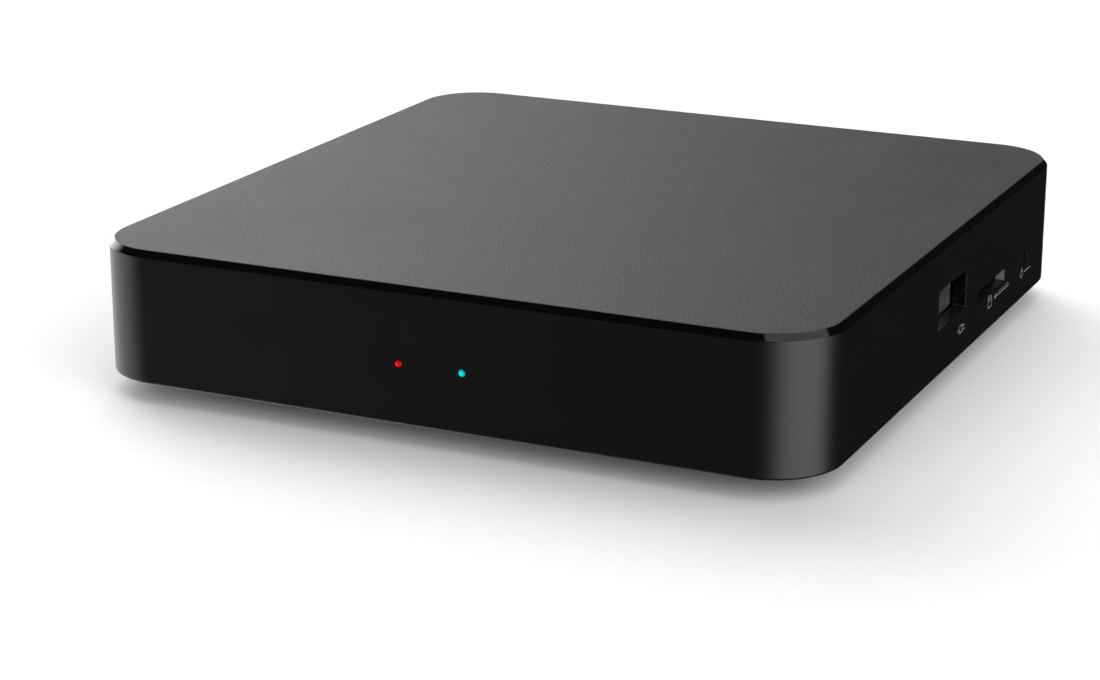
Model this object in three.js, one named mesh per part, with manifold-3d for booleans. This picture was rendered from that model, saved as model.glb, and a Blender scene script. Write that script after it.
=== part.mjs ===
// Streaming media player: a flat black television box on four rubber feet.
// Millimetres, +Z up. The front, with its two lamps, faces -Y. The side with the USB port faces +X.
// The origin is on the ground, under the middle of the case.
import * as THREE from "three";
import { mergeVertices } from "three/addons/utils/BufferGeometryUtils.js";
import Module from "manifold-3d";

const wasm = await Module();
wasm.setup();

// ---- Driving dimensions -------------------------------------------------------------------

// Upper shell
const CASE_WIDTH = 115;
const CASE_DEPTH = 119;
const CASE_HEIGHT = 20.4; // lower rim of the walls to the top face
const CORNER_RADIUS = 10.7;
const EDGE_INSET = 0.85; // top chamfer, in from the wall
const EDGE_DROP = 1.0; // top chamfer, down from the top face
const WALL = 2.0;
const ROOF = 2.0;

// Lower cover and feet
const RIM_HEIGHT = 3.2; // ground to the lower rim of the walls
const FOOT_HEIGHT = 2.0; // ground to the underside of the plinth
const FOOT_RADIUS = 6.5;
const FOOT_SEAT = 0.6; // depth of the recess that holds a foot
const FOOT_SIDE_INSET = 17.7; // side of the case to the middle of a foot
const FOOT_END_INSET = 14.5; // front or rear of the case to the middle of a foot
const FOOT_EDGE = 0.6;
const COVER_THICKNESS = 1.8;
const COVER_RECESS = 0.3; // underside of the cover's edge above the rim
const PLINTH_INSET = 4.5;
const LABEL_WIDTH = 46;
const LABEL_DEPTH = 24;
const LABEL_THICKNESS = 0.3;
const LABEL_RECESS = 0.4;
const LABEL_Y = -30;
const VENT_COUNT = 9;
const VENT_WIDTH = 1.6;
const VENT_LENGTH = 26;
const VENT_PITCH = 4.2;
const VENT_Y = 12;

// Case screws, and the posts that take them
const SCREW_INSET = 9; // each side of the case to a screw's axis
const SCREW_SHANK_RADIUS = 1.3;
const SCREW_HEAD_RADIUS = 2.5;
const SCREW_HEAD_HEIGHT = 1.5;
const SCREW_LENGTH = 8;
const SCREW_SUNK = 0.3; // head below the underside of the plinth
const POST_RADIUS = 3.2;
const POST_RIB = 1.2;

// Circuit board
const BOARD_THICKNESS = 1.6;
const STANDOFF_HEIGHT = 4.0;
const STANDOFF_RADIUS = 2.8;
const BOARD_SCREW_INSET = 9.5; // side wall to a board screw
const BOARD_SCREW_FRONT_INSET = 21.5; // front wall to the front pair
const BOARD_SCREW_BEHIND_CARD = 12; // card socket to the rear pair
const BOARD_SCREW_RADIUS = 1.2;
const BOARD_SCREW_HEAD_RADIUS = 2.3;
const BOARD_SCREW_HEAD_HEIGHT = 1.4;
const BOARD_SCREW_DEPTH = 3.2; // shank inside the standoff

// Clearances
const COVER_GAP = 0.25; // cover edge to the walls
const BOARD_GAP = 0.9; // board edge to the walls
const SEAT_GAP = 0.1; // between faces that rest on each other
const BORE_GAP = 0.2; // radial, round a screw, pin or lens
const PORT_SETBACK = 0.4; // connector mouth behind the inside of the wall
const MOUTH_GAP = 0.3; // round a connector in its cut-out
const OVERSHOOT = 1; // how far a cutter runs past the face it opens

// Right-hand side: USB socket, memory card socket, reset switch. Heights are above the board.
const USB_SPACING = 20.7; // memory card socket to the USB socket
const USB_HEIGHT = 4.15;
const USB_WIDTH = 13.1;
const USB_TALL = 5.7;
const USB_LENGTH = 14;
const USB_SHEET = 0.3;
const USB_TONGUE_WIDTH = 11.1;
const USB_TONGUE_THICKNESS = 1.84;
const USB_TONGUE_SETBACK = 0.5;
const USB_BLOCK_LENGTH = 4.5;
const USB_CONTACT_YS = [-3.5, -1.0, 1.0, 3.5];
const USB_CONTACT_WIDTH = 1.0;
const USB_CONTACT_THICKNESS = 0.25;
const USB_CONTACT_SETBACK = 1.5;
const USB_LEG_XS = [-4, -11];
const USB_LEG_WIDTH = 2;
const CARD_SPACING = 19; // reset switch to the memory card socket
const CARD_HEIGHT = 0.8;
const CARD_MOUTH_WIDTH = 13;
const CARD_MOUTH_TALL = 1.3;
const CARD_FLARE = 0.9; // how much further each end of the mouth reaches at the outside
const CARD_FLARE_TALL = 0.35; // the same, above and below
const CARD_FLARE_DEPTH = 1.2;
const CARD_SLOT_WIDTH = 11.2;
const CARD_SLOT_TALL = 0.9;
const CARD_SOCKET_WIDTH = 14.6;
const CARD_SOCKET_LENGTH = 15.2;
const CARD_SHEET = 0.2;
const CARD_BACK_WALL = 1.2;
const SLIDER_FRONT = 5.5; // behind the mouth, with no card in
const SLIDER_LENGTH = 2.5;
const SLIDER_WIDTH = 1.0;
const SPRING_WIRE_RADIUS = 0.09;
const SPRING_TURNS = 8;
const RESET_INSET = 18.5; // rear wall to the reset switch
const RESET_HEIGHT = 0.96;
const RESET_HOLE_RADIUS = 0.73;
const RESET_WIDTH = 4.7;
const RESET_DEPTH = 3.4;
const RESET_TALL = 1.9;
const RESET_SETBACK = 2.0; // switch body behind the socket line
const PLUNGER_WIDTH = 2.0;
const PLUNGER_TALL = 0.9;
const PLUNGER_PROUD = 1.0;
const PLUNGER_POCKET = 1.9;
const PLUNGER_TRAVEL = 0.3;

// Front: two lamps and the remote-control receiver
const LAMP_SPACING = 10;
const LAMP_HEIGHT = 2.7;
const LAMP_LENS_RADIUS = 0.6;
const LAMP_RADIUS = 1.5;
const LAMP_LENGTH = 4.6;
const LAMP_FLANGE = 0.2;
const LAMP_FLANGE_LENGTH = 1.0;
const LAMP_LEG = 0.5;
const LAMP_LEG_SPACING = 1.8;
const LAMP_LEG_REACH = 1.4;
const PIPE_RADIUS = 0.9;
const PIPE_FLANGE_RADIUS = 1.4;
const PIPE_FLANGE = 0.8;
const PIPE_LENGTH = 2.6; // behind the wall
const RECEIVER_X = 22;
const RECEIVER_WIDTH = 6;
const RECEIVER_DEPTH = 3;
const RECEIVER_TALL = 7;
const RECEIVER_SETBACK = 2;
const RECEIVER_LENS_RADIUS = 2.4;
const RECEIVER_LENS_PROUD = 1;
const RECEIVER_LENS_HEIGHT = 4;

// Rear: power, HDMI, audio-video and network sockets
const POWER_INSET = 17.5; // side wall to the power jack
const POWER_WIDTH = 9;
const POWER_TALL = 10.8;
const POWER_LENGTH = 14;
const POWER_HEIGHT = 6.3;
const POWER_BORE_RADIUS = 3.2;
const POWER_BORE_DEPTH = 10;
const POWER_PIN_RADIUS = 1.0;
const POWER_PIN_SETBACK = 1.0;
const POWER_MOUTH_RADIUS = 4.2;
const HDMI_SPACING = 18; // power jack to the HDMI socket
const HDMI_HEIGHT = 3.3;
const HDMI_WIDTH = 15;
const HDMI_TALL = 5.6;
const HDMI_LENGTH = 11.5;
const HDMI_SHEET = 0.35;
const HDMI_FOOT_CUT = 1.6; // the slanted lower corners
const HDMI_TONGUE_WIDTH = 10.2;
const HDMI_TONGUE_THICKNESS = 1.1;
const HDMI_TONGUE_SETBACK = 1.0;
const HDMI_BLOCK_LENGTH = 3;
const AV_SPACING = 18; // HDMI socket to the audio-video jack
const AV_WIDTH = 6.5;
const AV_TALL = 6;
const AV_LENGTH = 12;
const AV_BORE_RADIUS = 1.8;
const AV_COLLAR_RADIUS = 2.8;
const AV_COLLAR = 0.6; // how far the collar stands proud
const AV_BACK = 1.0; // left behind the bore
const NETWORK_SPACING = 19; // audio-video jack to the network jack
const NETWORK_WIDTH = 16;
const NETWORK_HEADROOM = 0.7; // network jack to the ceiling
const NETWORK_LENGTH = 16;
const NETWORK_PORT_WIDTH = 12;
const NETWORK_PORT_TALL = 7;
const NETWORK_PORT_FLOOR = 2.6;
const NETWORK_PORT_DEPTH = 12;
const NETWORK_LATCH_WIDTH = 6.2;
const NETWORK_LATCH_TALL = 1.2;

// Heat sink over the processor
const CHIP_X = -4;
const CHIP_Y = 2;
const CHIP_SIZE = 19;
const CHIP_TALL = 1.2;
const PAD_THICKNESS = 0.8;
const SINK_SIZE = 40;
const SINK_BASE = 1.6;
const SINK_FIN_TALL = 5.5;
const SINK_FIN = 1.0;
const SINK_FIN_COUNT = 9;
const SINK_PIN_INSET = 3.4;
const SINK_PIN_RADIUS = 1.2;
const SINK_PIN_HEAD_RADIUS = 2.2;
const SINK_PIN_HEAD = 1.2;
const SINK_PIN_BARB_RADIUS = 1.8;
const SINK_PIN_TAIL = 2.0;

// Other parts on the board
const FLAT_PART_TALL = 1.0;
const MEMORY_WIDTH = 9;
const MEMORY_DEPTH = 13;
const MEMORY_X = 25;
const MEMORY_YS = { front: -10, rear: 9 };
const FLASH_WIDTH = 11.5;
const FLASH_X = 4;
const FLASH_INSET = 25.5; // front wall to the flash chip
const POWER_CHIP_SIZE = 6;
const POWER_CHIP_INSET = 29.5; // side wall to the power chip
const COIL_INSET = 18.5; // side wall to the two inductors
const COIL_SPACING = 10;
const COIL_SIZE = 7;
const COIL_BASE = 1.2;
const COIL_RADIUS = 3.1;
const COIL_TALL = 3.6;
const CAPACITOR_INSET = 22.5; // rear wall to the two capacitors
const CAPACITOR_SPACING = 9;
const CAPACITOR_RADIUS = 3.15;
const CAPACITOR_TALL = 5.9;
const CAPACITOR_CRIMP = 2.0; // height of the groove round the can
const CAPACITOR_CRIMP_DEPTH = 0.4;
const CAPACITOR_BASE = 6.6;
const CAPACITOR_BASE_TALL = 0.8;
const CRYSTAL_X = -31;
const CRYSTAL_Y = 8;
const CRYSTAL_WIDTH = 5;
const CRYSTAL_DEPTH = 3.2;

// Wireless
const RADIO_SIDE_INSET = 21.5; // side wall to the middle of the radio
const RADIO_FRONT_INSET = 27.5;
const RADIO_WIDTH = 18;
const RADIO_DEPTH = 14;
const RADIO_TALL = 2.4;
const ANTENNA_LENGTH = 26;
const ANTENNA_TALL = 8;
const ANTENNA_THICKNESS = 0.6;
const ANTENNA_LIFT = 3; // above the board
const LEAD_RADIUS = 0.55;
const LEAD_GAP = 0.4; // between a lead's last stretch and its antenna

// Facets
const ARC_STEPS = 10; // per quarter turn of the case's corners
const ROUND_STEPS = 24; // round a small turned piece
const FINE_STEPS = 12; // round the smallest ones, and those out of sight
const LEAD_STEPS = 20;
const LEAD_SIDES = 8;
const SPRING_STEPS = 9; // per turn
const SPRING_SIDES = 4;

// ---- Places worked out from them ----------------------------------------------------------

const TOP = RIM_HEIGHT + CASE_HEIGHT;
const CEILING = TOP - ROOF;
const INSIDE_X = CASE_WIDTH / 2 - WALL;
const INSIDE_Y = CASE_DEPTH / 2 - WALL;
const COVER_UNDERSIDE = RIM_HEIGHT + COVER_RECESS;
const COVER_TOP = COVER_UNDERSIDE + COVER_THICKNESS;
const FLOOR = FOOT_HEIGHT + COVER_THICKNESS;
const PLINTH_WIDTH = CASE_WIDTH - 2 * PLINTH_INSET;
const PLINTH_DEPTH = CASE_DEPTH - 2 * PLINTH_INSET;
const PLINTH_RADIUS = Math.max(CORNER_RADIUS - PLINTH_INSET, 1);
const BOARD_BOTTOM = FLOOR + STANDOFF_HEIGHT;
const BOARD_TOP = BOARD_BOTTOM + BOARD_THICKNESS;
const SCREW_X = CASE_WIDTH / 2 - SCREW_INSET;
const SCREW_Y = CASE_DEPTH / 2 - SCREW_INSET;
const NETWORK_TALL = CEILING - BOARD_TOP - NETWORK_HEADROOM;
const RESET_Y = INSIDE_Y - RESET_INSET;
const CARD_Y = RESET_Y - CARD_SPACING;
const USB_Y = CARD_Y - USB_SPACING;
const POWER_X = INSIDE_X - POWER_INSET;
const HDMI_X = POWER_X - HDMI_SPACING;
const AV_X = HDMI_X - AV_SPACING;
const NETWORK_X = AV_X - NETWORK_SPACING;
const RADIO_X = RADIO_SIDE_INSET - INSIDE_X;
const RADIO_Y = RADIO_FRONT_INSET - INSIDE_Y;
const BOARD_SCREW_X = INSIDE_X - BOARD_SCREW_INSET;
const BOARD_SCREW_FRONT_Y = BOARD_SCREW_FRONT_INSET - INSIDE_Y;
const BOARD_SCREW_REAR_Y = CARD_Y + BOARD_SCREW_BEHIND_CARD;
const SCREW_SEAT = FOOT_HEIGHT + SCREW_SUNK + SCREW_HEAD_HEIGHT;
const POST_BOTTOM = COVER_TOP + SEAT_GAP;
const SINK_BOTTOM = CHIP_TALL + PAD_THICKNESS + 3 * SEAT_GAP;
const SINK_TOP = SINK_BOTTOM + SINK_BASE;
const SINK_PIN_OFFSET = SINK_SIZE / 2 - SINK_PIN_INSET;

const CORNERS = [
  ["front_left", -1, -1],
  ["front_right", 1, -1],
  ["rear_left", -1, 1],
  ["rear_right", 1, 1],
];
const BOARD_SCREWS = [
  ["front_left", -BOARD_SCREW_X, BOARD_SCREW_FRONT_Y],
  ["front_right", BOARD_SCREW_X, BOARD_SCREW_FRONT_Y],
  ["rear_left", -BOARD_SCREW_X, BOARD_SCREW_REAR_Y],
  ["rear_right", BOARD_SCREW_X, BOARD_SCREW_REAR_Y],
];
const SINK_PINS = [
  ["left", CHIP_X - SINK_PIN_OFFSET, CHIP_Y + SINK_PIN_OFFSET],
  ["right", CHIP_X + SINK_PIN_OFFSET, CHIP_Y - SINK_PIN_OFFSET],
];
const LAMPS = [
  ["red", -LAMP_SPACING / 2],
  ["cyan", LAMP_SPACING / 2],
];

// ---- Materials ----------------------------------------------------------------------------

function material(color, roughness, metalness) {
  return new THREE.MeshStandardMaterial({ color, roughness, metalness });
}

const MATERIALS = {
  casing: material(0x151516, 0.45, 0),
  cover: material(0x101011, 0.6, 0),
  rubber: material(0x1c1c1c, 0.9, 0),
  label: material(0x8c8c8c, 0.5, 0),
  steel: material(0xb4b6b8, 0.35, 1),
  blackSteel: material(0x2a2a2c, 0.4, 1),
  brass: material(0xc9a04a, 0.3, 1),
  aluminium: material(0xa8abae, 0.4, 1),
  board: material(0x12402a, 0.5, 0),
  chip: material(0x202224, 0.5, 0),
  pad: material(0x8fa7b4, 0.9, 0),
  plastic: material(0x1a1a1c, 0.5, 0),
  palePlastic: material(0xd8d6cc, 0.5, 0),
  redLens: material(0xcd0814, 0.2, 0),
  cyanLens: material(0x14cdcd, 0.2, 0),
  film: material(0xb87a34, 0.5, 0),
};

// ---- Solids -------------------------------------------------------------------------------

// A closed three.js geometry as a solid that can be joined and cut.
function solid(geometry) {
  geometry.deleteAttribute("normal");
  geometry.deleteAttribute("uv");
  const merged = mergeVertices(geometry, 1e-4);
  const corners = Array.from(merged.index.array);
  const kept = [];
  for (let i = 0; i < corners.length; i += 3) {
    const [a, b, c] = corners.slice(i, i + 3);
    if (a !== b && b !== c && c !== a) kept.push(a, b, c);
  }
  const mesh = new wasm.Mesh({
    numProp: 3,
    vertProperties: merged.attributes.position.array,
    triVerts: new Uint32Array(kept),
  });
  return new wasm.Manifold(mesh);
}

// A solid back as a three.js geometry.
function geometryOf(body) {
  const mesh = body.getMesh();
  const places = new Float32Array(mesh.numVert * 3);
  for (let i = 0; i < mesh.numVert; i++) {
    const from = i * mesh.numProp;
    places.set(mesh.vertProperties.subarray(from, from + 3), i * 3);
  }
  const geometry = new THREE.BufferGeometry();
  geometry.setAttribute("position", new THREE.BufferAttribute(places, 3));
  geometry.setIndex(new THREE.BufferAttribute(mesh.triVerts, 1));
  geometry.computeVertexNormals();
  return geometry;
}

function join(bodies) {
  return bodies.reduce((whole, body) => whole.add(body));
}

function cut(body, cutters) {
  return cutters.reduce((left, cutter) => left.subtract(cutter), body);
}

// A block between two corners.
function block([x0, y0, z0], [x1, y1, z1]) {
  const geometry = new THREE.BoxGeometry(x1 - x0, y1 - y0, z1 - z0);
  geometry.translate((x0 + x1) / 2, (y0 + y1) / 2, (z0 + z1) / 2);
  return solid(geometry);
}

// An upright cylinder.
function rod(radius, x, y, z0, z1, steps = ROUND_STEPS) {
  const geometry = new THREE.CylinderGeometry(radius, radius, z1 - z0, steps);
  geometry.rotateX(Math.PI / 2);
  geometry.translate(x, y, (z0 + z1) / 2);
  return solid(geometry);
}

// A cylinder along X.
function rodAlongX(radius, x0, x1, y, z, steps = ROUND_STEPS) {
  const geometry = new THREE.CylinderGeometry(radius, radius, x1 - x0, steps);
  geometry.rotateZ(Math.PI / 2);
  geometry.translate((x0 + x1) / 2, y, z);
  return solid(geometry);
}

function roundedRectangle(width, depth, radius) {
  const x = width / 2;
  const y = depth / 2;
  const shape = new THREE.Shape();
  shape.absarc(x - radius, y - radius, radius, 0, Math.PI / 2);
  shape.absarc(radius - x, y - radius, radius, Math.PI / 2, Math.PI);
  shape.absarc(radius - x, radius - y, radius, Math.PI, 1.5 * Math.PI);
  shape.absarc(x - radius, radius - y, radius, 1.5 * Math.PI, 2 * Math.PI);
  return shape;
}

// A rounded rectangle raised between two heights.
function slab(width, depth, radius, z0, z1) {
  const shape = roundedRectangle(width, depth, radius);
  const geometry = new THREE.ExtrudeGeometry(shape, {
    depth: z1 - z0,
    bevelEnabled: false,
    curveSegments: ARC_STEPS,
  });
  geometry.translate(0, 0, z0);
  return solid(geometry);
}

// Turns what was drawn in X and Y, and raised along Z, to lie in Y and Z, raised along X.
const TO_YZ = new THREE.Matrix4().makeBasis(
  new THREE.Vector3(0, 1, 0),
  new THREE.Vector3(0, 0, 1),
  new THREE.Vector3(1, 0, 0),
);

// An outline in Y and Z, drawn out along X.
function drawnAlongX(shape, x0, x1) {
  const geometry = new THREE.ExtrudeGeometry(shape, { depth: x1 - x0, bevelEnabled: false });
  geometry.applyMatrix4(TO_YZ);
  geometry.translate(x0, 0, 0);
  return solid(geometry);
}

// A turned piece: its profile is pairs of radius and height, from the bottom up.
function turned(profile, steps = ROUND_STEPS) {
  const points = profile.map(([radius, height]) => new THREE.Vector2(radius, height));
  const geometry = new THREE.LatheGeometry(points, steps);
  geometry.rotateX(Math.PI / 2);
  return solid(geometry);
}

// A wire or lead of round section along a smooth curve.
function wire(curve, radius, steps, sides) {
  const section = new THREE.Shape();
  section.absarc(0, 0, radius, 0, 2 * Math.PI);
  const geometry = new THREE.ExtrudeGeometry(section, {
    steps,
    curveSegments: sides,
    extrudePath: curve,
  });
  return solid(geometry);
}

// ---- Nodes and their places ---------------------------------------------------------------

const player = new THREE.Group();

function add(parent, name, body, finish, [x, y, z] = [0, 0, 0]) {
  const mesh = new THREE.Mesh(geometryOf(body), finish);
  mesh.name = name;
  mesh.position.set(x, y, z);
  parent.add(mesh);
}

function groupAt(x, y, z, turn) {
  const group = new THREE.Group();
  group.position.set(x, y, z);
  group.rotation.z = turn;
  player.add(group);
  return group;
}

const onBoard = groupAt(0, 0, BOARD_TOP, 0);

// A connector is drawn with its mouth at x = 0, facing +X, and its foot at z = 0, on the board.
const onRightEdge = (y) => groupAt(INSIDE_X - PORT_SETBACK, y, BOARD_TOP, 0);
const onRearEdge = (x) => groupAt(x, INSIDE_Y - PORT_SETBACK, BOARD_TOP, Math.PI / 2);
const onFrontEdge = (x) => groupAt(x, PORT_SETBACK - INSIDE_Y, BOARD_TOP, -Math.PI / 2);

// Cutters through a wall, in the place of a connector.
function throughRightWall(body, y) {
  return body.translate(INSIDE_X, y, BOARD_TOP);
}

function throughRearWall(body, x) {
  return body.rotate(0, 0, 90).translate(x, INSIDE_Y, BOARD_TOP);
}

function throughFrontWall(body, x) {
  return body.rotate(0, 0, -90).translate(x, -INSIDE_Y, BOARD_TOP);
}

// A rectangular way through the wall, which starts at x = 0 and is WALL thick.
function mouthCut(width, low, high) {
  return block([-OVERSHOOT, -width / 2, low], [WALL + OVERSHOOT, width / 2, high]);
}

function roundMouthCut(radius, height) {
  return rodAlongX(radius, -OVERSHOOT, WALL + OVERSHOOT, 0, height);
}

// ---- Upper shell --------------------------------------------------------------------------

// The outside of the shell: straight walls, and a chamfer round the top face.
function outerBlock() {
  const shape = roundedRectangle(CASE_WIDTH, CASE_DEPTH, CORNER_RADIUS);
  const straight = CASE_HEIGHT - EDGE_DROP;
  const geometry = new THREE.ExtrudeGeometry(shape, {
    depth: straight,
    curveSegments: ARC_STEPS,
    bevelThickness: EDGE_DROP,
    bevelSize: EDGE_INSET,
    bevelOffset: -EDGE_INSET,
    bevelSegments: 1,
  });
  geometry.translate(0, 0, RIM_HEIGHT);
  const below = slab(CASE_WIDTH + 2, CASE_DEPTH + 2, CORNER_RADIUS, 0, RIM_HEIGHT);
  return solid(geometry).subtract(below);
}

// A screw post hangs from the roof, tied to both walls by ribs.
function screwPost(signX, signY) {
  const x = signX * SCREW_X;
  const y = signY * SCREW_Y;
  const ribs = [
    [[x, y - POST_RIB / 2], [signX * (INSIDE_X + WALL / 2), y + POST_RIB / 2]],
    [[x - POST_RIB / 2, y], [x + POST_RIB / 2, signY * (INSIDE_Y + WALL / 2)]],
  ].map(([from, to]) =>
    block(
      [Math.min(from[0], to[0]), Math.min(from[1], to[1]), BOARD_TOP],
      [Math.max(from[0], to[0]), Math.max(from[1], to[1]), CEILING + ROOF / 2],
    ),
  );
  const post = rod(POST_RADIUS, x, y, POST_BOTTOM, CEILING + ROOF / 2, FINE_STEPS);
  return join([post, ...ribs]);
}

function screwPostBore(signX, signY) {
  const top = SCREW_SEAT + SCREW_LENGTH + OVERSHOOT;
  const radius = SCREW_SHANK_RADIUS + BORE_GAP;
  return rod(radius, signX * SCREW_X, signY * SCREW_Y, POST_BOTTOM - OVERSHOOT, top, FINE_STEPS);
}

function cardMouthOutline(halfTall, middle) {
  const y = CARD_MOUTH_WIDTH / 2;
  const shape = new THREE.Shape();
  shape.moveTo(-y, middle - halfTall);
  shape.lineTo(y, middle - halfTall);
  shape.lineTo(y, middle + halfTall);
  shape.lineTo(-y, middle + halfTall);
  return shape;
}

// The memory card mouth is flared at the outside of the wall, most of all at its ends.
function cardMouthCut() {
  const halfTall = CARD_MOUTH_TALL / 2;
  const squeeze = CARD_FLARE_TALL / CARD_FLARE;
  const flare = new THREE.ExtrudeGeometry(cardMouthOutline(halfTall / squeeze, 0), {
    depth: OVERSHOOT,
    bevelThickness: CARD_FLARE_DEPTH,
    bevelSize: CARD_FLARE,
    bevelSegments: 1,
  });
  flare.scale(1, squeeze, 1);
  flare.applyMatrix4(TO_YZ);
  flare.translate(WALL, 0, CARD_HEIGHT);
  const straight = cardMouthOutline(halfTall, CARD_HEIGHT);
  return drawnAlongX(straight, -OVERSHOOT, WALL + OVERSHOOT).add(solid(flare));
}

function sideCuts() {
  const usbHalf = USB_TALL / 2 + MOUTH_GAP / 2;
  const usb = mouthCut(USB_WIDTH + 2 * MOUTH_GAP, USB_HEIGHT - usbHalf, USB_HEIGHT + usbHalf);
  return [
    throughRightWall(usb, USB_Y),
    throughRightWall(cardMouthCut(), CARD_Y),
    throughRightWall(roundMouthCut(RESET_HOLE_RADIUS, RESET_HEIGHT), RESET_Y),
  ];
}

function rearCuts() {
  const hdmiHalf = HDMI_TALL / 2 + MOUTH_GAP;
  const hdmi = mouthCut(HDMI_WIDTH + 2 * MOUTH_GAP, HDMI_HEIGHT - hdmiHalf, HDMI_HEIGHT + hdmiHalf);
  const network = mouthCut(NETWORK_WIDTH + 2 * MOUTH_GAP, -MOUTH_GAP, NETWORK_TALL + MOUTH_GAP);
  return [
    throughRearWall(roundMouthCut(POWER_MOUTH_RADIUS, POWER_HEIGHT), POWER_X),
    throughRearWall(hdmi, HDMI_X),
    throughRearWall(roundMouthCut(AV_COLLAR_RADIUS + MOUTH_GAP, AV_TALL / 2), AV_X),
    throughRearWall(network, NETWORK_X),
  ];
}

function frontCuts() {
  return LAMPS.map(([, x]) =>
    throughFrontWall(roundMouthCut(LAMP_LENS_RADIUS + BORE_GAP / 2, LAMP_HEIGHT), x),
  );
}

function upperShell() {
  const radius = Math.max(CORNER_RADIUS - WALL, 1);
  const hollow = slab(2 * INSIDE_X, 2 * INSIDE_Y, radius, RIM_HEIGHT - OVERSHOOT, CEILING);
  const posts = CORNERS.map(([, signX, signY]) => screwPost(signX, signY));
  const bores = CORNERS.map(([, signX, signY]) => screwPostBore(signX, signY));
  const shell = join([outerBlock().subtract(hollow), ...posts]);
  return cut(shell, [...bores, ...sideCuts(), ...rearCuts(), ...frontCuts()]);
}

// ---- Lower cover, feet and case screws ----------------------------------------------------

function ventCuts() {
  const cuts = [];
  for (let i = 0; i < VENT_COUNT; i++) {
    const x = (i - (VENT_COUNT - 1) / 2) * VENT_PITCH;
    const from = [x - VENT_WIDTH / 2, VENT_Y - VENT_LENGTH / 2, FOOT_HEIGHT - OVERSHOOT];
    const to = [x + VENT_WIDTH / 2, VENT_Y + VENT_LENGTH / 2, FLOOR + OVERSHOOT];
    cuts.push(block(from, to));
  }
  return cuts;
}

function footPlace(signX, signY) {
  const x = signX * (CASE_WIDTH / 2 - FOOT_SIDE_INSET);
  const y = signY * (CASE_DEPTH / 2 - FOOT_END_INSET);
  return [x, y];
}

function footSeatCut([, signX, signY]) {
  const [x, y] = footPlace(signX, signY);
  const radius = FOOT_RADIUS + BORE_GAP;
  return rod(radius, x, y, FOOT_HEIGHT - OVERSHOOT, FOOT_HEIGHT + FOOT_SEAT);
}

function screwWellCuts([, signX, signY]) {
  const x = signX * SCREW_X;
  const y = signY * SCREW_Y;
  const headRadius = SCREW_HEAD_RADIUS + BORE_GAP;
  const head = rod(headRadius, x, y, FOOT_HEIGHT - OVERSHOOT, SCREW_SEAT, FINE_STEPS);
  const radius = SCREW_SHANK_RADIUS + BORE_GAP;
  const shank = rod(radius, x, y, FLOOR - OVERSHOOT, COVER_TOP + OVERSHOOT, FINE_STEPS);
  return head.add(shank);
}

function labelSeatCut() {
  const x = LABEL_WIDTH / 2 + BORE_GAP;
  const y = LABEL_DEPTH / 2 + BORE_GAP;
  const seat = [x, LABEL_Y + y, FOOT_HEIGHT + LABEL_RECESS];
  return block([-x, LABEL_Y - y, FOOT_HEIGHT - OVERSHOOT], seat);
}

function lowerCover() {
  const width = 2 * (INSIDE_X - COVER_GAP);
  const depth = 2 * (INSIDE_Y - COVER_GAP);
  const radius = Math.max(CORNER_RADIUS - WALL - COVER_GAP, 1);
  const edge = slab(width, depth, radius, COVER_UNDERSIDE, COVER_TOP);
  const plinth = slab(PLINTH_WIDTH, PLINTH_DEPTH, PLINTH_RADIUS, FOOT_HEIGHT, COVER_TOP);
  const pocketWidth = PLINTH_WIDTH - 2 * COVER_THICKNESS;
  const pocketDepth = PLINTH_DEPTH - 2 * COVER_THICKNESS;
  const pocketRadius = Math.max(PLINTH_RADIUS - COVER_THICKNESS, 1);
  const pocket = slab(pocketWidth, pocketDepth, pocketRadius, FLOOR, COVER_TOP + OVERSHOOT);
  const pillarRadius = SCREW_HEAD_RADIUS + COVER_THICKNESS;
  const pillars = CORNERS.map(([, signX, signY]) => {
    const [x, y] = [signX * SCREW_X, signY * SCREW_Y];
    return rod(pillarRadius, x, y, FOOT_HEIGHT, COVER_TOP, FINE_STEPS).intersect(plinth);
  });
  const standoffs = BOARD_SCREWS.map(([, x, y]) => {
    const foot = FLOOR - COVER_THICKNESS / 2;
    return rod(STANDOFF_RADIUS, x, y, foot, BOARD_BOTTOM - SEAT_GAP, FINE_STEPS);
  });
  const bores = BOARD_SCREWS.map(([, x, y]) => {
    const bottom = BOARD_BOTTOM - BOARD_SCREW_DEPTH - SEAT_GAP - BORE_GAP;
    return rod(BOARD_SCREW_RADIUS + BORE_GAP, x, y, bottom, BOARD_BOTTOM, FINE_STEPS);
  });
  const whole = join([edge.add(plinth).subtract(pocket), ...pillars, ...standoffs]);
  const feet = CORNERS.map(footSeatCut);
  const wells = CORNERS.map(screwWellCuts);
  return cut(whole, [...bores, ...feet, ...wells, ...ventCuts(), labelSeatCut()]);
}

function foot() {
  return turned([
    [0, 0],
    [FOOT_RADIUS - FOOT_EDGE, 0],
    [FOOT_RADIUS, FOOT_EDGE],
    [FOOT_RADIUS, FOOT_HEIGHT + FOOT_SEAT - SEAT_GAP],
    [0, FOOT_HEIGHT + FOOT_SEAT - SEAT_GAP],
  ]);
}

function caseScrew() {
  return turned(
    [
      [0, 0],
      [SCREW_HEAD_RADIUS, 0],
      [SCREW_HEAD_RADIUS, SCREW_HEAD_HEIGHT - SEAT_GAP],
      [SCREW_SHANK_RADIUS, SCREW_HEAD_HEIGHT - SEAT_GAP],
      [SCREW_SHANK_RADIUS, SCREW_HEAD_HEIGHT + SCREW_LENGTH - SCREW_SHANK_RADIUS],
      [0, SCREW_HEAD_HEIGHT + SCREW_LENGTH],
    ],
    FINE_STEPS,
  );
}

function label() {
  const x = LABEL_WIDTH / 2;
  const y = LABEL_DEPTH / 2;
  const underside = FOOT_HEIGHT + LABEL_RECESS - SEAT_GAP / 2 - LABEL_THICKNESS;
  return block([-x, LABEL_Y - y, underside], [x, LABEL_Y + y, underside + LABEL_THICKNESS]);
}

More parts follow.
